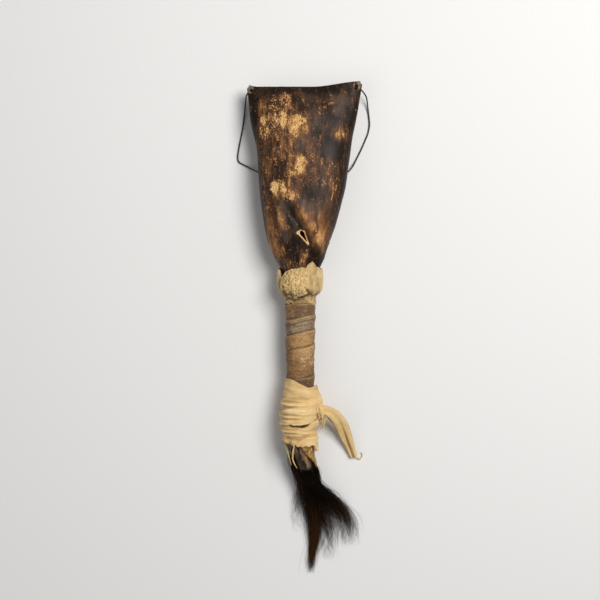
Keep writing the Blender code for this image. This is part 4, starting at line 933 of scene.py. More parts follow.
def grip_turn_at(angle):
    """The turn at an angle round the handle, counted from the top."""
    return -angle / (2 * np.pi)


def grip_relief(places, share, angle, height):
    """Stretch wrinkles that run with the strip, and fine scuffing."""
    runs = np.stack([angle * 9 * MM / 5, height, 0 * height], axis=-1)
    stretched = 0.7 * MM * rough_noise(runs, 2.2 * MM, seed=97, octaves=3)
    return stretched + 0.25 * MM * rough_noise(places, 1.2 * MM, seed=101, octaves=3)


def grip_rubbed_flat(turn):
    """1 at the turns whose lap is rubbed flat, fading to 0 at both ends."""
    return smooth((turn - GRIP_RUBBED_FROM) / 0.2) * smooth((GRIP_RUBBED_TO - turn) / 0.15)


def grip_tucked(places, share, angle, height):
    """Shadow lines: where the next turn covers this one, and along a crease of the second turn."""
    turn = grip_turn_at(angle)
    second = smooth(3 - np.abs(turn - 1.95) / 0.12)
    covered = bell(share - 0.31, 0.05) * (1 - 0.85 * grip_rubbed_flat(turn))
    return np.maximum(covered, second * bell(share - 0.78, 0.035))


def grip_lightened(places, share, angle, height):
    """The upper part of the dark turn that is rubbed flat with the tan one before it."""
    turn = grip_turn_at(angle)
    return grip_rubbed_flat(turn - 1) * smooth((share - 0.40) / 0.55) * (turn > 4.5)


def grip_darkened(places, share, angle, height):
    """The lower part of the tan turn that is rubbed flat with the dark one after it."""
    turn = grip_turn_at(angle)
    return grip_rubbed_flat(turn) * smooth((0.85 - share) / 0.55) * (turn > 3.6)


def grip_edge_wear_and_light(places, share, angle, height):
    """The strip's upper edge, for its wear and painted highlight, less where the turn before is rubbed flat
    with it.
    """
    return smooth((share - 0.86) / 0.14) * (1 - 0.8 * grip_rubbed_flat(grip_turn_at(angle) - 1))


grip_turns = np.linspace(GRIP_FIRST_TURN, GRIP_LAST_TURN, GRIP_ROWS)
grip_under, grip_lap = through(GRIP_FACES, grip_turns).T * MM
grip_edge = GRIP_FIRST_EDGE - GRIP_PITCH * grip_turns
grip_edge = grip_edge + 0.5 * MM * np.sin(7.3 * grip_turns) + 0.3 * MM * np.sin(17.0 * grip_turns)
grip_upper = np.minimum(GRIP_TOP, grip_edge)
grip_lower = np.minimum(grip_upper - 0.6 * MM, np.maximum(GRIP_BOTTOM, grip_edge - GRIP_STRIP_WIDTH))
grip_fields = {
    "turn": lambda places, share, angle, height: grip_turn_at(angle),
    "side": lambda places, share, angle, height: np.sin(angle),
    "edge": grip_edge_wear_and_light, "tucked": grip_tucked, "lightened": grip_lightened, "darkened": grip_darkened,
}
grip = wound_strip("wound_grip_strip", grip_turns, grip_upper, grip_lower, grip_lap, grip_under,
                   thickness=GRIP_THICKNESS, hand=-1, across=GRIP_ACROSS, relief=grip_relief,
                   fields=grip_fields)

grip_finish = Finish("handled_tan_hide", 0.5)
grip_turn = grip_finish.attribute("turn")
grip_side = grip_finish.attribute("side")
grip_cloud = grip_finish.noise(240.0, detail=5.0, rough=0.62, warp=0.5, axes=(1, 1.6, 1))
grip_scuff = grip_finish.noise(800.0, detail=5.0, rough=0.68, axes=(1, 1.8, 1))
grip_fleck = grip_finish.noise(820.0, rough=0.7, axes=(1, 1.4, 1))
grip_band = grip_finish.ramp(grip_turn * (1 / GRIP_LAST_TURN) + 0.05 * (grip_cloud - 0.5), (
    (0.00, (0.128, 0.066, 0.027)), (1.00, (0.060, 0.029, 0.011)), (0.20, (0.114, 0.062, 0.028)),
    (0.235, (0.290, 0.210, 0.128)), (0.325, (0.270, 0.185, 0.100)), (0.365, (0.400, 0.220, 0.076)),
    (0.52, (0.360, 0.205, 0.074)), (0.63, (0.280, 0.150, 0.054)), (0.68, (0.225, 0.110, 0.036)),
    (0.79, (0.185, 0.090, 0.032)), (0.84, (0.095, 0.046, 0.018)),
))
grip_blotch = grip_finish.step(grip_cloud + 0.3 * (grip_scuff - 0.5), 0.46, 0.74)
# Painted shade: both sides of the grip darker where its round turns away from the light.
grip_left_shade = grip_finish.step(0.7 * (grip_cloud - 0.5) - grip_side, 0.45, 0.95)
grip_right_shade = grip_finish.step(grip_side + 0.7 * (grip_cloud - 0.5), 0.50, 0.95)
grip_first = grip_finish.step(0.9 * (grip_cloud - 0.5) - grip_side, 0.22, 0.55)
grip_first = grip_first * (1 - grip_finish.step(grip_turn, 1.28, 1.42))
grip_first = grip_first * grip_finish.step(grip_scuff, 0.38, 0.58)
grip_blend = 1.6 * (grip_fleck - 0.5) + 1.6 * (grip_cloud - 0.5)
grip_light = grip_finish.step(grip_finish.attribute("lightened") + grip_blend, 0.30, 0.75)
grip_deep = grip_finish.step(grip_finish.attribute("darkened") - grip_blend, 0.45, 0.90)
grip_pale = grip_finish.step(0.6 * grip_scuff + 0.5 * grip_cloud, 0.53, 0.60)
grip_pale = grip_pale * grip_finish.step(grip_side + 0.8 * (grip_cloud - 0.5), -0.15, 0.15)
grip_rubbed = grip_finish.step(grip_turn, 3.70, 3.85) * (1 - grip_finish.step(grip_turn, 4.05, 4.25))
# Paler upper edges: partly wear, partly a painted highlight where the lapped edge catches the light.
grip_edge_wear_and_highlight = grip_finish.attribute("edge") * grip_finish.step(grip_scuff, 0.30, 0.62)
grip_finish.set("Base Color", grip_finish.layers(
    grip_band,
    (0.75 * grip_blotch, (0.070, 0.036, 0.016)),
    (0.80 * grip_left_shade, (0.13, 0.047, 0.014)),
    (0.8 * grip_first, (0.33, 0.180, 0.066)),
    (0.60 * grip_right_shade, (0.12, 0.060, 0.024)),
    (0.85 * grip_light, (0.250, 0.128, 0.042)),
    (0.75 * grip_deep, (0.190, 0.096, 0.034)),
    (0.75 * grip_pale * grip_rubbed, (0.56, 0.375, 0.165)),
    (0.45 * grip_finish.step(grip_fleck, 0.52, 0.64), (0.43, 0.265, 0.105)),
    (0.60 * grip_finish.step(1 - grip_fleck, 0.52, 0.64), (0.075, 0.036, 0.013)),
    (0.7 * grip_edge_wear_and_highlight, (0.44, 0.265, 0.095)),
    (0.75 * grip_finish.attribute("tucked"), (0.040, 0.020, 0.009)),
))
grip_finish.set("Roughness", 0.36 + 0.25 * grip_scuff + 0.12 * grip_finish.step(grip_turn, 2.6, 4.0))
grip_finish.set("Specular IOR Level", 0.35)
grip_finish.bump(0.8 * grip_scuff + 0.4 * grip_cloud, 0.26 * MM)
grip_finish.wear(grip)
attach(grip, "rattle")
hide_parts("grip_wrap")

# Lower wrap: a broad strip of soft pale hide wound four times over the butt of the stick and the tail skin.
# Its first turn crosses over its own start, and its end is tucked at the right, where the knot is.
# Stations: turn, upper edge, lower edge, radius at each edge. Whole turns and a half face the front.
WRAP_STATIONS = np.array((
    (-0.46, -55.1, -65.8, 9.6, 9.9), (-0.42, -54.7, -65.9, 9.6, 9.9), (-0.35, -53.8, -65.7, 9.6, 10.0),
    (-0.25, -54.0, -65.4, 9.7, 10.2), (0, -52.3, -66.3, 9.8, 10.2), (0.12, -50.1, -69.2, 9.7, 10.3),
    (0.25, -48.0, -70.0, 9.9, 10.9), (0.36, -47.8, -67.8, 10.0, 11.0), (0.45, -49.3, -66.2, 10.2, 11.0),
    (0.5, -50.7, -66.1, 10.3, 11.0), (0.58, -52.9, -66.0, 10.7, 11.4), (0.64, -52.6, -66.6, 10.9, 12.1),
    (0.7, -52.2, -68.1, 10.9, 13.2), (0.75, -52.5, -69.3, 10.6, 14.0), (0.82, -55.2, -71.1, 10.9, 13.6),
    (0.9, -59.5, -72.3, 11.4, 12.0), (1, -62.8, -73.7, 11.3, 10.8), (1.12, -66.6, -76.9, 11.6, 11.4),
    (1.25, -68.1, -77.1, 12.6, 12.5), (1.36, -66.2, -76.1, 12.6, 12.4), (1.43, -64.7, -75.4, 12.6, 12.3),
    (1.5, -63.9, -75.1, 12.6, 12.1), (1.56, -63.8, -75.0, 12.5, 11.8), (1.61, -64.6, -73.9, 12.2, 11.5),
    (1.66, -66.6, -72.3, 11.7, 11.2), (1.7, -67.9, -71.5, 11.2, 10.9), (1.75, -68.7, -71.4, 10.6, 10.5),
    (2, -71.9, -83.4, 11.3, 10.6), (2.12, -74.5, -86.5, 11.4, 10.7), (2.25, -75.9, -86.4, 11.7, 10.9),
    (2.36, -75.1, -87.0, 11.6, 11.0), (2.42, -76.2, -87.1, 11.7, 11.0), (2.5, -76.9, -87.5, 11.9, 11.0),
    (2.55, -76.3, -87.4, 12.1, 11.0), (2.6, -74.1, -87.3, 12.3, 10.9), (2.65, -72.7, -87.1, 12.0, 10.7),
    (2.7, -72.3, -86.4, 11.3, 10.5), (2.75, -73.8, -86.4, 10.6, 10.2), (3, -79.8, -90.0, 10.8, 10.3),
    (3.25, -81.6, -87.0, 10.6, 10.3), (3.4, -84.3, -87.3, 10.9, 10.7), (3.47, -85.3, -87.8, 11.5, 11.2),
    (3.52, -83.5, -88.3, 12.1, 11.7), (3.57, -82.3, -89.0, 12.2, 11.6), (3.66, -82.1, -90.5, 11.5, 11.0),
    (3.72, -82.7, -90.8, 10.9, 10.6), (3.75, -83.4, -90.0, 10.6, 10.4), (3.86, -85.1, -90.0, 10.6, 10.5),
)) * np.array([1.0, MM, MM, MM, MM])
WRAP_FRONT_TURN = 0.5
WRAP_THICKNESS = 1.2 * MM
WRAP_GIRTH = 66 * MM
WRAP_ROWS, WRAP_ACROSS = 900, 40
# Creases across the front, in millimetres: height over the tie, rise (sunk below 0), half width.
WRAP_CREASES = (
    (-58.9, 0.35, 0.9), (-60.4, 0.9, 0.8), (-62.0, -1.1, 0.6), (-63.5, 1.3, 0.9), (-65.4, -0.6, 0.5),
    (-67.9, 0.5, 1.2), (-69.9, -0.8, 0.45), (-71.2, 0.7, 0.7), (-72.6, -0.7, 0.45), (-73.8, 0.5, 0.6),
    (-78.3, -0.7, 0.45), (-79.5, 0.5, 0.7), (-80.8, -0.8, 0.5),
)
WRAP_FRONT_LEFT = math.radians(-38)


def wrap_folds(angle, height):
    """The creases across the front, raised and sunk, each wandering a little along the strip."""
    runs = np.stack([angle * 11 * MM / 6, 0 * height, 0 * height], axis=-1)
    wander = 1.6 * MM * rough_noise(runs, 7 * MM, seed=127, octaves=2)
    facing = hump(angle, WRAP_FRONT_LEFT, 1.15)
    return sum(rise * facing * bell(height - place * MM - wander, half * MM)
               for place, rise, half in WRAP_CREASES)


def wrap_wrinkles(angle, height):
    """Drawn wrinkles that run along the strip, from -0.5 to 0.5."""
    runs = np.stack([angle * 11 * MM / 6, height, 0 * height], axis=-1)
    return rough_noise(runs, 2.6 * MM, seed=109, octaves=3)


def wrap_relief(places, share, angle, height):
    """Wrinkles along the strip, broad puffs, and the creases across the front."""
    puffs = rough_noise(places, 7 * MM, seed=113, octaves=2)
    relief = 1.9 * wrap_wrinkles(angle, height) + 1.8 * puffs + wrap_folds(angle, height)
    return MM * np.maximum(-0.8, relief)


def wrap_grime_and_shade(places, share, angle, height):
    """Painted shade along the edges, in hollows and sunk creases and over the first turn's upper part; grime
    on the low left side.
    """
    edges = smooth((0.10 - np.minimum(share, 1 - share)) / 0.10)
    hollows = smooth((-0.10 - wrap_wrinkles(angle, height)) / 0.16)
    first_turn_shade = 0.18 * smooth((share - 0.30) / 0.3) * (angle < np.pi)
    low_left = smooth((-80.5 * MM - height) / (3.5 * MM)) * hump(angle, WRAP_FRONT_LEFT, 0.75)
    stained = low_left * smooth(0.4 + 5.0 * rough_noise(places, 1.7 * MM, seed=151, octaves=3))
    sunk = smooth(-0.8 * wrap_folds(angle, height))
    return np.clip(first_turn_shade + 0.34 * edges + 0.5 * hollows + 0.9 * sunk + 0.75 * stained, 0, 1)


def wrap_highlight(places, share, angle, height):
    """A painted highlight on the tops of the wrinkles and folds."""
    return smooth((0.55 * wrap_folds(angle, height) + 2.2 * wrap_wrinkles(angle, height) - 0.12) / 0.6)


wrap_turns = np.linspace(WRAP_STATIONS[0, 0], WRAP_STATIONS[-1, 0], WRAP_ROWS)
wrap_upper, wrap_lower, wrap_upper_radius, wrap_lower_radius = through(WRAP_STATIONS, wrap_turns).T
wrap_run = np.stack([wrap_turns * WRAP_GIRTH, 0 * wrap_turns, 0 * wrap_turns], axis=-1)
wrap_upper = wrap_upper + 0.8 * MM * rough_noise(wrap_run, 4 * MM, seed=103, octaves=3)
wrap_torn = 1.2 * MM + 4.0 * MM * smooth((-84 * MM - wrap_lower) / (2 * MM))
wrap_lower = wrap_lower + wrap_torn * rough_noise(wrap_run, 2.4 * MM, seed=107, octaves=3)
wrap = wound_strip("wound_pale_strip", wrap_turns - WRAP_FRONT_TURN, wrap_upper, wrap_lower,
                   wrap_upper_radius, wrap_lower_radius, thickness=WRAP_THICKNESS, hand=1,
                   across=WRAP_ACROSS, relief=wrap_relief,
                   fields={"grime_and_shade": wrap_grime_and_shade, "crest": wrap_highlight})
wrap_finish = pale_hide("soft_pale_hide", light=(0.70, 0.485, 0.220), dark=(0.59, 0.385, 0.155),
                        grime_and_shade_colour=(0.24, 0.135, 0.042))
wrap_finish.wear(wrap)
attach(wrap, "rattle")
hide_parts("butt_wrap")

# Knot: the end of the same soft strip, turned under the flared edge of the first turn at the right.
# It is drawn tight into a bundle of small folds.
KNOT_CENTRE = np.array([8.5, -47.4, 14.2]) * MM
KNOT_HALF = np.array([3.2, 7.2, 6.4]) * MM
KNOT_LEAN = 0.22
KNOT_ROWS, KNOT_COLUMNS = 60, 80

knot_down = np.linspace(0, np.pi, KNOT_ROWS)[:, None]
knot_round = np.linspace(0, 2 * np.pi, KNOT_COLUMNS, endpoint=False)[None, :]
knot_unit = np.stack(np.broadcast_arrays(
    np.sin(knot_down) * np.sin(knot_round), np.cos(knot_down), np.sin(knot_down) * np.cos(knot_round),
), axis=-1)
knot_folds = rough_noise(knot_unit * np.array([5, 2.2, 5]) * MM, 2.0 * MM, seed=131, octaves=3)
knot_points = KNOT_CENTRE + knot_unit * KNOT_HALF * (1 + 0.55 * knot_folds)[..., None]
knot_points[..., 0] -= KNOT_LEAN * (knot_points[..., 1] - KNOT_CENTRE[1])
# Painted shade: the knot's folds darken in their hollows, and darkest in the deepest clefts.
knot_fields = {"grime_and_shade": smooth(0.25 - 5 * knot_folds), "cleft_shade": smooth((-0.07 - knot_folds) / 0.07)}
knot = grid_mesh("tucked_strip_end", knot_points, around=True, fields=knot_fields)
wrap_finish.wear(knot)
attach(knot, "rattle")
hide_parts("wrap_knot")

# Free end: the rest of the wrap's strip, which leaves the knot and droops to the board.
# Its right half has curled over, so a crease runs down it, and a torn fibre curls off its tip.
# Torn scraps of the same hide hang at the knot.
STRAP_ROUTE = np.array((
    (6.9, -48.6, 15.2), (9.9, -48.3, 15.6), (12.9, -48.9, 15.4), (15.9, -50.4, 14.6), (19.2, -53.5, 12.6),
    (22.3, -58.5, 9.4), (24.7, -64.4, 6.2), (26.8, -70.0, 4.0), (28.7, -75.1, 2.6), (30.3, -79.5, 1.9),
)) * MM
# Widths: share of the length, width in millimetres.
STRAP_WIDTHS = ((0.0, 5.6), (0.15, 6.0), (0.3, 7.4), (0.5, 8.2), (0.7, 7.2), (0.87, 5.4), (1.0, 4.4))
STRAP_THICKNESS = 1.2 * MM
STRAP_ROWS, STRAP_ACROSS = 150, 26
STRIP_SIDES = 10
FIBRE_ROUTE = (
    (30.6, -78.2, 2.2), (32.6, -80.0, 1.8), (34.0, -80.7, 1.4), (35.2, -79.9, 1.1), (35.5, -78.3, 0.9),
    (34.9, -77.1, 0.8), (34.2, -76.9, 0.8),
)

strap_path = along_route(STRAP_ROUTE, STRAP_ROWS)
strap_share = np.linspace(0, 1, STRAP_ROWS)[:, None]
strap_half = through(STRAP_WIDTHS, strap_share[:, 0]) * MM / 2
strap_side = np.concatenate([np.linspace(-1, 1, STRAP_ACROSS), np.linspace(1, -1, STRAP_ACROSS)])[None, :]
strap_over = np.arange(2 * STRAP_ACROSS)[None, :] < STRAP_ACROSS
fold_line = 0.02 + 0.22 * smooth((strap_share - 0.5) / 0.5)
fold_depth = 1.0 * MM * smooth((strap_share - 0.52) / 0.25)
valley = -fold_depth * bell(strap_side - fold_line, 0.10)
curl = 1.5 * MM * smooth(1 - ((strap_side + 0.5) / 0.55) ** 2) * smooth((strap_share - 0.3) / 0.35)
strap_runs = np.stack(np.broadcast_arrays(strap_share * 9 * MM, strap_side * 3 * MM, 0.0), axis=-1)
strap_wrinkle = 0.7 * MM * rough_noise(strap_runs, 1.8 * MM, seed=137, octaves=3)
strap_rounded = np.sqrt(np.clip(1 - np.abs(strap_side) ** 8, 0, 1))
strap_up = valley + curl + strap_wrinkle + np.where(strap_over, STRAP_THICKNESS * strap_rounded, 0)
strap_outline = np.stack([strap_side * strap_half, strap_up - STRAP_THICKNESS / 2], axis=-1)
strap_points = sweep(strap_path, strap_outline)
strap_points[[0, -1]] = strap_points[[0, -1]].mean(axis=1, keepdims=True)
strap_points[..., 2] = np.maximum(strap_points[..., 2], 0.15 * MM)
# Painted shade down the valley of the fold.
strap_fold_shade = 0.8 * bell(strap_side - fold_line, 0.07) * smooth((strap_share - 0.55) / 0.25)
strap = grid_mesh("free_strip_end", strap_points, around=True, fields={"grime_and_shade": strap_fold_shade})
strap_finish = pale_hide("soft_pale_strip", light=(0.70, 0.50, 0.235), dark=(0.55, 0.365, 0.145),
                         grime_and_shade_colour=(0.20, 0.105, 0.030))
strap_finish.wear(strap)
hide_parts("strap_end")
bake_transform(strap)


def flat_strip(name, route, width, thickness, count):
    """A narrow torn strip of the pale hide: a flat oval along a route, widest before its middle."""
    path = along_route(np.array(route) * MM, count)
    share = np.linspace(0, 1, count)[:, None]
    angle = np.linspace(0, 2 * np.pi, STRIP_SIDES, endpoint=False)[None, :]
    half = width / 2 * (0.25 + 0.75 * np.sin(np.pi * (0.14 + 0.86 * share)))
    outline = np.stack(np.broadcast_arrays(half * np.cos(angle), thickness / 2 * np.sin(angle)), axis=-1)
    points = sweep(path, outline)
    points[[0, -1]] = points[[0, -1]].mean(axis=1, keepdims=True)
    strip = grid_mesh(name, points, around=True)
    strap_finish.wear(strip)
    return strip


strap_fibre = flat_strip("torn_fibre", FIBRE_ROUTE, width=0.8 * MM, thickness=0.4 * MM, count=70)
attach(strap_fibre, "strap")
for number, scrap_width, scrap_route in (
    (1, 1.5, ((11.6, -49.0, 14.8), (12.4, -53.0, 13.6), (11.9, -56.9, 11.6), (10.8, -60.9, 9.6))),
    (2, 2.2, ((9.6, -48.6, 16.2), (10.2, -51.5, 15.4), (10.0, -54.1, 14.2), (9.1, -56.7, 13.0))),
    (3, 1.2, ((13.2, -49.8, 14.4), (14.7, -53.8, 12.4), (16.3, -56.2, 10.6), (16.9, -57.5, 9.6))),
    (4, 1.1, ((10.5, -49.6, 15.2), (11.0, -54.2, 13.6), (10.3, -58.8, 11.0), (9.6, -61.5, 9.4))),
):
    torn = flat_strip(f"torn_edge_{number}", scrap_route, width=scrap_width * MM, thickness=0.6 * MM,
                      count=40)
    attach(torn, "rattle")

# Fringe: two narrow strips of the pale hide, torn from the wrap's lower edge and still held by it.
# They have dried stiff, and hang a little off the tail.
LEFT_FRINGE = (
    (-12.5, -65.8, 17.5), (-11.5, -69.1, 17.4), (-10.4, -72.5, 17.0), (-9.3, -77.2, 16.0),
    (-8.5, -80.3, 15.2), (-7.9, -82.2, 14.8),
)
RIGHT_FRINGE = (
    (-5.9, -66.7, 24.6), (-6.4, -69.5, 24.0), (-7.0, -73.6, 22.4), (-7.1, -76.8, 21.0),
    (-6.2, -80.1, 19.6), (-4.3, -83.7, 18.0),
)
for fringe_name, fringe_node, fringe_route in (
    ("torn_strip_left", "fringe_strip_1", LEFT_FRINGE),
    ("torn_strip_right", "fringe_strip_2", RIGHT_FRINGE),
):
    fringe = flat_strip(fringe_name, fringe_route, width=0.95 * MM, thickness=0.45 * MM, count=60)
    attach(fringe, "rattle")
    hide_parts(fringe_node)

# Tail skin: the dried skin of a tail's tip, slit and pulled over the stick's butt under the wrap.
# It opens into a gutter towards the hair, and its cut edge shows pale down the right.
SKIN_START, SKIN_LENGTH, SKIN_SLEEVE = -88.3 * MM, 16.8 * MM, 14 * MM
SKIN_INNER, SKIN_MOUTH, SKIN_WALL = 7.5 * MM, 6.3 * MM, 1.1 * MM
SKIN_ROWS, SKIN_ACROSS = 120, 90
TAIL_SHIFT, TAIL_REST = 3.0 * MM, 7.0 * MM


def tail_line(drop):
    """The tail's middle line below the butt: it eases sideways and down to the board. Gives x, y and z."""
    share = smooth(drop / SKIN_LENGTH)
    return AXIS_X + TAIL_SHIFT * share, TIE_Y + SKIN_START - drop, AXIS_Z + (TAIL_REST - AXIS_Z) * share


def round_tail(x, y, z, reach, angle):
    """Places round the tail's middle line: angle 0 is the front and a quarter turn the right."""
    places = np.broadcast_arrays(x + reach * np.sin(angle), y, z + reach * np.cos(angle))
    return np.stack(places, axis=-1)


skin_drop = np.linspace(-SKIN_SLEEVE, SKIN_LENGTH, SKIN_ROWS)[:, None]
skin_free = smooth((skin_drop + 0.25 * SKIN_LENGTH) / SKIN_LENGTH)
skin_first = np.radians(8 + 76 * smooth((skin_drop - 1 * MM) / SKIN_LENGTH))
skin_last = np.radians(335 - 65 * skin_free)
skin_part = np.concatenate([np.linspace(0, 1, SKIN_ACROSS), np.linspace(1, 0, SKIN_ACROSS)])[None, :]
skin_outer = np.arange(2 * SKIN_ACROSS)[None, :] >= SKIN_ACROSS
skin_angle = skin_first + (skin_last - skin_first) * skin_part
skin_narrow = smooth((skin_drop - 0.3 * MM) / (0.5 * SKIN_LENGTH))
skin_radius = SKIN_INNER + (SKIN_MOUTH - SKIN_INNER) * skin_narrow
skin_runs = np.stack(np.broadcast_arrays(skin_angle * 6 * MM, skin_drop / 4, 0.0), axis=-1)
skin_wrinkle = 0.9 * MM * rough_noise(skin_runs, 1.6 * MM, seed=139, octaves=3)
skin_edge = smooth(np.minimum(skin_part, 1 - skin_part) / 0.05)
skin_wall = np.where(skin_outer, SKIN_WALL * (0.55 + 0.45 * skin_edge) + skin_wrinkle, 0)
skin_x, _, skin_z = tail_line(np.maximum(skin_drop, 0))
skin_y = TIE_Y + SKIN_START - skin_drop
skin_points = round_tail(skin_x, skin_y, skin_z, skin_radius + skin_wall, skin_angle)
skin_points[[0, -1]] = (skin_points[[0, -1]] + skin_points[[0, -1], ::-1]) / 2
skin_cut = smooth((0.42 - skin_part) / 0.30) * smooth((skin_drop + 6 * MM) / (5 * MM))
skin_fields = {"cut": skin_cut, "flesh": 1.0 - skin_outer}
skin = grid_mesh("dried_tail_skin", skin_points, around=True, fields=skin_fields)
skin_finish = Finish("dried_tail_skin", 0.5)
skin_streak = skin_finish.noise(620.0, detail=5.0, rough=0.6, axes=(1, 0.3, 1))
skin_brown = skin_finish.mix(skin_finish.step(skin_streak, 0.34, 0.68),
                             (0.032, 0.015, 0.007), (0.15, 0.070, 0.027))
skin_tan = skin_finish.mix(skin_finish.step(skin_streak, 0.40, 0.66),
                           (0.22, 0.096, 0.021), (0.56, 0.35, 0.088))
skin_finish.set("Base Color", skin_finish.layers(
    skin_brown,
    (skin_finish.attribute("flesh"), (0.16, 0.070, 0.026)),
    (skin_finish.attribute("cut"), skin_tan),
))
skin_finish.bump(skin_streak, 0.3 * MM)
skin_finish.wear(skin)
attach(skin, "rattle")
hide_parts("tail_skin")

# Tail core: the tail's own flesh and bone, dried hard inside the skin and ridged along its length.
# It darkens to the roots of the hair at its end.
CORE_RADIUS = 5.1 * MM
CORE_ROWS, CORE_COLUMNS = 70, 90

core_drop = np.linspace(0, SKIN_LENGTH, CORE_ROWS)[:, None]
core_angle = np.linspace(0, 2 * np.pi, CORE_COLUMNS, endpoint=False)[None, :]
core_runs = np.stack(np.broadcast_arrays(
    5 * MM * np.cos(core_angle), 5 * MM * np.sin(core_angle), core_drop / 5,
), axis=-1)
core_ridges = rough_noise(core_runs, 1.7 * MM, seed=149, octaves=3)
core_root = 0.9 * smooth((core_drop - 11.5 * MM - 14 * MM * core_ridges) / (5.5 * MM))
core_root = np.maximum(core_root, 0.97 * smooth((core_drop - 12.8 * MM) / (3.8 * MM)))
core_points = round_tail(*tail_line(core_drop), CORE_RADIUS + 1.1 * MM * core_ridges, core_angle)
core_ends = [end.mean(axis=1, keepdims=True) + 0 * end for end in (core_points[:1], core_points[-1:])]
core_points = np.concatenate([core_ends[0], core_points, core_ends[1]])
core_fields = {"ridge": core_ridges, "root": core_root}
core_fields = {name: np.pad(mask, ((1, 1), (0, 0)), "edge") for name, mask in core_fields.items()}
core = grid_mesh("dried_tail_core", core_points, around=True, fields=core_fields)
core_finish = Finish("dried_tail_core", 0.55)
core_streak = core_finish.noise(700.0, detail=5.0, rough=0.6, axes=(1, 0.25, 1))
core_ridge_tone = core_finish.step(core_streak + 1.4 * core_finish.attribute("ridge"), 0.42, 0.82)
core_finish.set("Base Color", core_finish.layers(
    (0.020, 0.010, 0.005),
    (core_ridge_tone, (0.30, 0.165, 0.066)),
    (core_finish.attribute("root"), (0.012, 0.006, 0.003)),
))
core_finish.bump(core_streak, 0.3 * MM)
core_finish.wear(core)
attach(core, "rattle")
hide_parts("tail_core")

# Hair: long black-brown tail hair that grows out of the tail's end, lies on the board and thins to tips.
# It hangs in a main mass with a warm core, a wing of two locks to the right, and a thin lock to the left.
# Each station: x, y, z of a lock's middle, its half spread across and its half height, in millimetres.
HAIR_STEPS = 16
MAIN_LOCK = (
    (2.4, -89.7, 7.0, 3.9, 3.8), (3.1, -94.7, 6.4, 4.3, 3.8), (4.0, -101.6, 5.2, 4.2, 3.0),
    (5.2, -110.5, 3.4, 3.9, 2.0), (6.1, -119.9, 2.1, 3.4, 1.3), (6.1, -129.2, 1.3, 2.6, 0.8),
    (5.2, -139.1, 0.8, 1.8, 0.5), (3.7, -152.6, 0.5, 0.9, 0.2),
)
CORE_LOCK = (
    (2.4, -91.0, 6.8, 2.8, 3.2), (3.4, -97.8, 6.0, 2.7, 3.0), (5.2, -109.1, 4.2, 2.4, 2.2),
    (6.4, -119.8, 2.8, 1.8, 1.5), (6.4, -129.1, 1.8, 1.4, 1.0), (4.9, -140.3, 1.0, 0.9, 0.6),
    (3.4, -151.4, 0.5, 0.7, 0.2),
)
UPPER_WING = (
    (5.2, -91.9, 8.0, 2.5, 3.0), (9.4, -97.6, 7.2, 2.4, 3.0), (15.2, -102.9, 5.0, 2.4, 2.4),
    (21.0, -109.4, 2.8, 2.7, 1.6), (25.6, -116.4, 1.4, 3.3, 0.9), (28.4, -125.1, 0.8, 4.2, 0.5),
    (28.4, -135.5, 0.5, 4.8, 0.3),
)
LOWER_WING = (
    (4.6, -91.5, 7.0, 3.0, 3.0), (8.8, -100.3, 5.5, 3.0, 2.6), (14.3, -108.1, 3.2, 3.3, 1.8),
    (19.5, -116.3, 1.8, 3.9, 1.0), (22.9, -125.7, 0.9, 4.2, 0.5), (24.1, -136.8, 0.5, 4.5, 0.2),
)
LOW_LOCK = (
    (3.4, -93.0, 6.0, 3.0, 2.8), (6.7, -103.0, 4.5, 3.0, 2.4), (10.4, -113.1, 2.6, 3.6, 1.5),
    (13.4, -123.1, 1.4, 4.2, 0.8), (14.7, -133.7, 0.7, 4.5, 0.4), (14.4, -144.7, 0.5, 4.5, 0.2),
)
LEFT_LOCK = (
    (-1.8, -89.1, 7.0, 1.8, 3.0), (-2.1, -96.1, 5.6, 1.8, 2.6), (-2.7, -103.8, 3.4, 3.0, 1.7),
    (-3.0, -111.5, 1.8, 3.9, 1.0), (-2.1, -119.6, 0.9, 3.9, 0.5), (-0.3, -128.2, 0.5, 3.0, 0.2),
)
# Pieces: name, node, hair radius in millimetres, warmth, and locks.
# Each lock: hairs, stations, frizz in millimetres, share of the shortest hair, stagger of the roots.
TASSEL_HAIR = (
    ("main_hair", "hair_main", 0.11, 0.25, ((560, MAIN_LOCK, 2.0, 0.28, 0.1), (60, MAIN_LOCK, 4.5, 0.3))),
    ("core_hair", "hair_main", 0.11, 1.0, ((330, CORE_LOCK, 1.4, 0.40),)),
    ("upper_wing_hair", "hair_lock_right_upper", 0.085, 0.25,
     ((260, UPPER_WING, 3.0, 0.3), (50, UPPER_WING, 4.6, 0.5))),
    ("lower_wing_hair", "hair_lock_right_lower", 0.085, 0.25,
     ((170, LOWER_WING, 3.4, 0.3), (190, LOW_LOCK, 4.0, 0.3))),
    ("left_hair", "hair_lock_left", 0.07, 0.8, ((80, LEFT_LOCK, 3.6, 0.35),)),
)


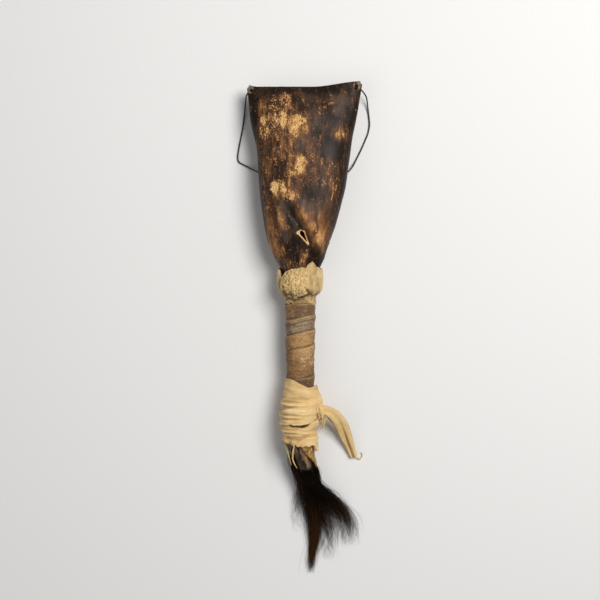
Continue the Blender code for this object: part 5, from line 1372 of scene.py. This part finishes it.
def strands(name, paths, radius, warmth):
    """Thin hairs along many paths at once: three corners round each point of a path, closing in to its tip."""
    count, steps = paths.shape[:2]
    ahead = np.gradient(paths, axis=1)
    ahead /= np.linalg.norm(ahead, axis=-1, keepdims=True) + 1e-12
    side = np.cross(ahead, [0.0, 0.0, 1.0])
    side /= np.linalg.norm(side, axis=-1, keepdims=True) + 1e-9
    up = np.cross(side, ahead)
    angle = np.array([0.0, 2 * np.pi / 3, 4 * np.pi / 3])[:, None]
    taper = (1 - 0.85 * np.linspace(0, 1, steps) ** 2)[None, :, None, None]
    ring = np.cos(angle) * side[:, :, None] + np.sin(angle) * up[:, :, None]
    points = (paths[:, :, None] + radius * taper * ring).reshape(-1, 3)
    index = np.arange(count * steps * 3).reshape(count, steps, 3)
    ends = np.concatenate([index[:, 0, ::-1], index[:, -1]])
    index = np.concatenate([index, index[:, :, :1]], axis=2)
    corners = (index[:, :-1, :-1], index[:, :-1, 1:], index[:, 1:, 1:], index[:, 1:, :-1])
    sides = np.stack(corners, axis=-1).reshape(-1, 4)
    mesh = bpy.data.meshes.new(name)
    mesh.from_pydata(points, [], sides.tolist() + ends.tolist())
    along = np.linspace(0, 1, steps)[:, None]
    tint = lattice_noise(paths[:, :1] * 9.7, 1 * MM, seed=5)[:, :, None]
    for field, values in (("along", along), ("tint", tint), ("warm", warmth)):
        add_values(mesh, field, np.broadcast_to(values, (count, steps, 3)))
    mesh.shade_smooth()
    return add_object(name, mesh)


def lock_paths(rng, count, stations, frizz, shortest, stagger=0.0):
    """Paths of one lock: each hair keeps its own share of the lock's spread at every station.

    Stations are places with a half spread across the lock and one upright. The hairs wave a little, start
    up to a stagger along the lock, end at shares of it from the shortest up, and stay over the board.
    """
    stations = np.array(stations, float) * MM
    across, up = np.clip(rng.normal(0, 0.58, (2, count, 1)), -1.8, 1.8)
    last = shortest + (1 - shortest) * rng.random((count, 1)) ** 0.6
    first = stagger * rng.random((count, 1))
    share = first + (last - first) * np.linspace(0, 1, HAIR_STEPS)[None, :]
    here = through(np.column_stack([np.linspace(0, 1, len(stations)), stations]), share)
    ahead = np.gradient(here[..., :2], axis=1)
    ahead /= np.linalg.norm(ahead, axis=-1, keepdims=True)
    bends = share * rng.uniform(4, 15, (count, 1)) + rng.uniform(0, 6.3, (count, 1))
    aside = across * here[..., 3] + frizz * MM * share * np.sin(bends) * rng.uniform(0.3, 1.6, (count, 1))
    x = here[..., 0] - ahead[..., 1] * aside
    y = here[..., 1] + ahead[..., 0] * aside
    z = np.maximum(here[..., 2] + up * here[..., 4], 0.2 * MM)
    return np.stack([x, y, z], axis=-1)


hair_finish = Finish("tail_hair", 0.42)
hair_age = hair_finish.attribute("along") + 0.5 * (hair_finish.attribute("tint") - 0.5)
hair_late = hair_finish.step(hair_age, 0.30, 0.85)
hair_finish.set("Base Color", hair_finish.layers(
    (0.0046, 0.0020, 0.0010),
    (hair_late, (0.022, 0.0095, 0.0042)),
    (hair_late * hair_finish.attribute("warm"), (0.062, 0.025, 0.008)),
))
hair_finish.set("Specular IOR Level", 0.10)
hair_rng = np.random.default_rng(20)
for hair_name, hair_node, hair_radius, hair_warmth, hair_locks in TASSEL_HAIR:
    hair_paths = np.concatenate([lock_paths(hair_rng, *lock) for lock in hair_locks])
    hair = strands(hair_name, hair_paths, hair_radius * MM, hair_warmth)
    hair_finish.wear(hair)
    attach(hair, "tassel")
    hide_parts(hair_node)

# Root hair: shorter hair that grows on the tail's skin and hides where the tassel starts.
# It runs over the swing of the tassel. Stations and locks are given as above.
ROOT_HAIR_RADIUS, ROOT_HAIR_WARMTH = 0.1 * MM, 0.2
RIGHT_ROOTS = (
    (4.9, -83.0, 9.4, 1.4, 2.0), (6.8, -86.7, 8.7, 1.9, 2.0), (8.1, -91.6, 7.5, 1.8, 1.8),
    (9.1, -97.2, 6.0, 1.8, 1.6),
)
LEFT_ROOTS = (
    (-8.4, -72.1, 10.8, 1.2, 2.0), (-7.4, -79.5, 9.8, 1.6, 2.4), (-5.6, -86.4, 8.6, 1.8, 2.6),
    (-3.0, -94.0, 6.8, 2.3, 2.6), (0.3, -102.3, 4.6, 2.8, 2.0),
)
FRONT_ROOTS = (
    (-0.7, -85.0, 11.9, 3.4, 1.0), (0.3, -87.6, 11.1, 4.2, 1.4), (1.6, -91.2, 9.8, 4.8, 2.0),
    (3.0, -96.2, 8.0, 4.8, 2.2), (4.3, -103.3, 5.6, 4.2, 2.0),
)
UNDER_ROOTS = (
    (0.4, -83.6, 5.8, 2.8, 3.4), (0.9, -88.6, 4.6, 3.8, 3.9), (2.2, -95.6, 3.8, 4.2, 3.2),
    (3.8, -103.0, 3.0, 4.2, 2.2),
)
ROOT_LOCKS = (
    (150, RIGHT_ROOTS, 0.3, 0.5, 0.35), (250, LEFT_ROOTS, 0.5, 0.4, 0.45),
    (260, FRONT_ROOTS, 0.5, 0.6, 0.5), (320, UNDER_ROOTS, 0.5, 0.6),
)
root_paths = np.concatenate([lock_paths(hair_rng, *lock) for lock in ROOT_LOCKS])
root_hair = strands("root_hair", root_paths, ROOT_HAIR_RADIUS, ROOT_HAIR_WARMTH)
hair_finish.wear(root_hair)
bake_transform(root_hair)

# Stick: a peeled branch inside the head, the wraps and the tail skin, seen only through the eyelet.
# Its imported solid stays, in a finish of bare wood.
stick_finish = Finish("peeled_wood", 0.6)
stick_grain = stick_finish.noise(700.0, detail=5.0, rough=0.6, warp=0.5, axes=(1, 0.06, 1))
stick_finish.set("Base Color", stick_finish.mix(stick_grain, (0.20, 0.115, 0.055), (0.42, 0.28, 0.15)))
stick_finish.bump(stick_grain, 0.2 * MM)
stick_finish.wear(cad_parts["handle_stick"])

# Pebbles: six small river stones, loose in the head, where they make the sound.
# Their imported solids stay, in a finish of clouded grey stone with dark specks.
PEBBLES = 6
pebble_finish = Finish("river_stone", 0.45)
pebble_cloud = pebble_finish.noise(420.0, detail=5.0, rough=0.6)
pebble_speck = pebble_finish.noise(2400.0, detail=2.0)
pebble_finish.set("Base Color", pebble_finish.layers(
    (0.16, 0.15, 0.14),
    (pebble_cloud, (0.38, 0.34, 0.29)),
    (pebble_finish.step(pebble_speck, 0.6, 0.7), (0.09, 0.085, 0.08)),
))
pebble_finish.bump(pebble_speck, 0.08 * MM)
for number in range(1, PEBBLES + 1):
    pebble_finish.wear(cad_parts[f"pebble_{number}"])
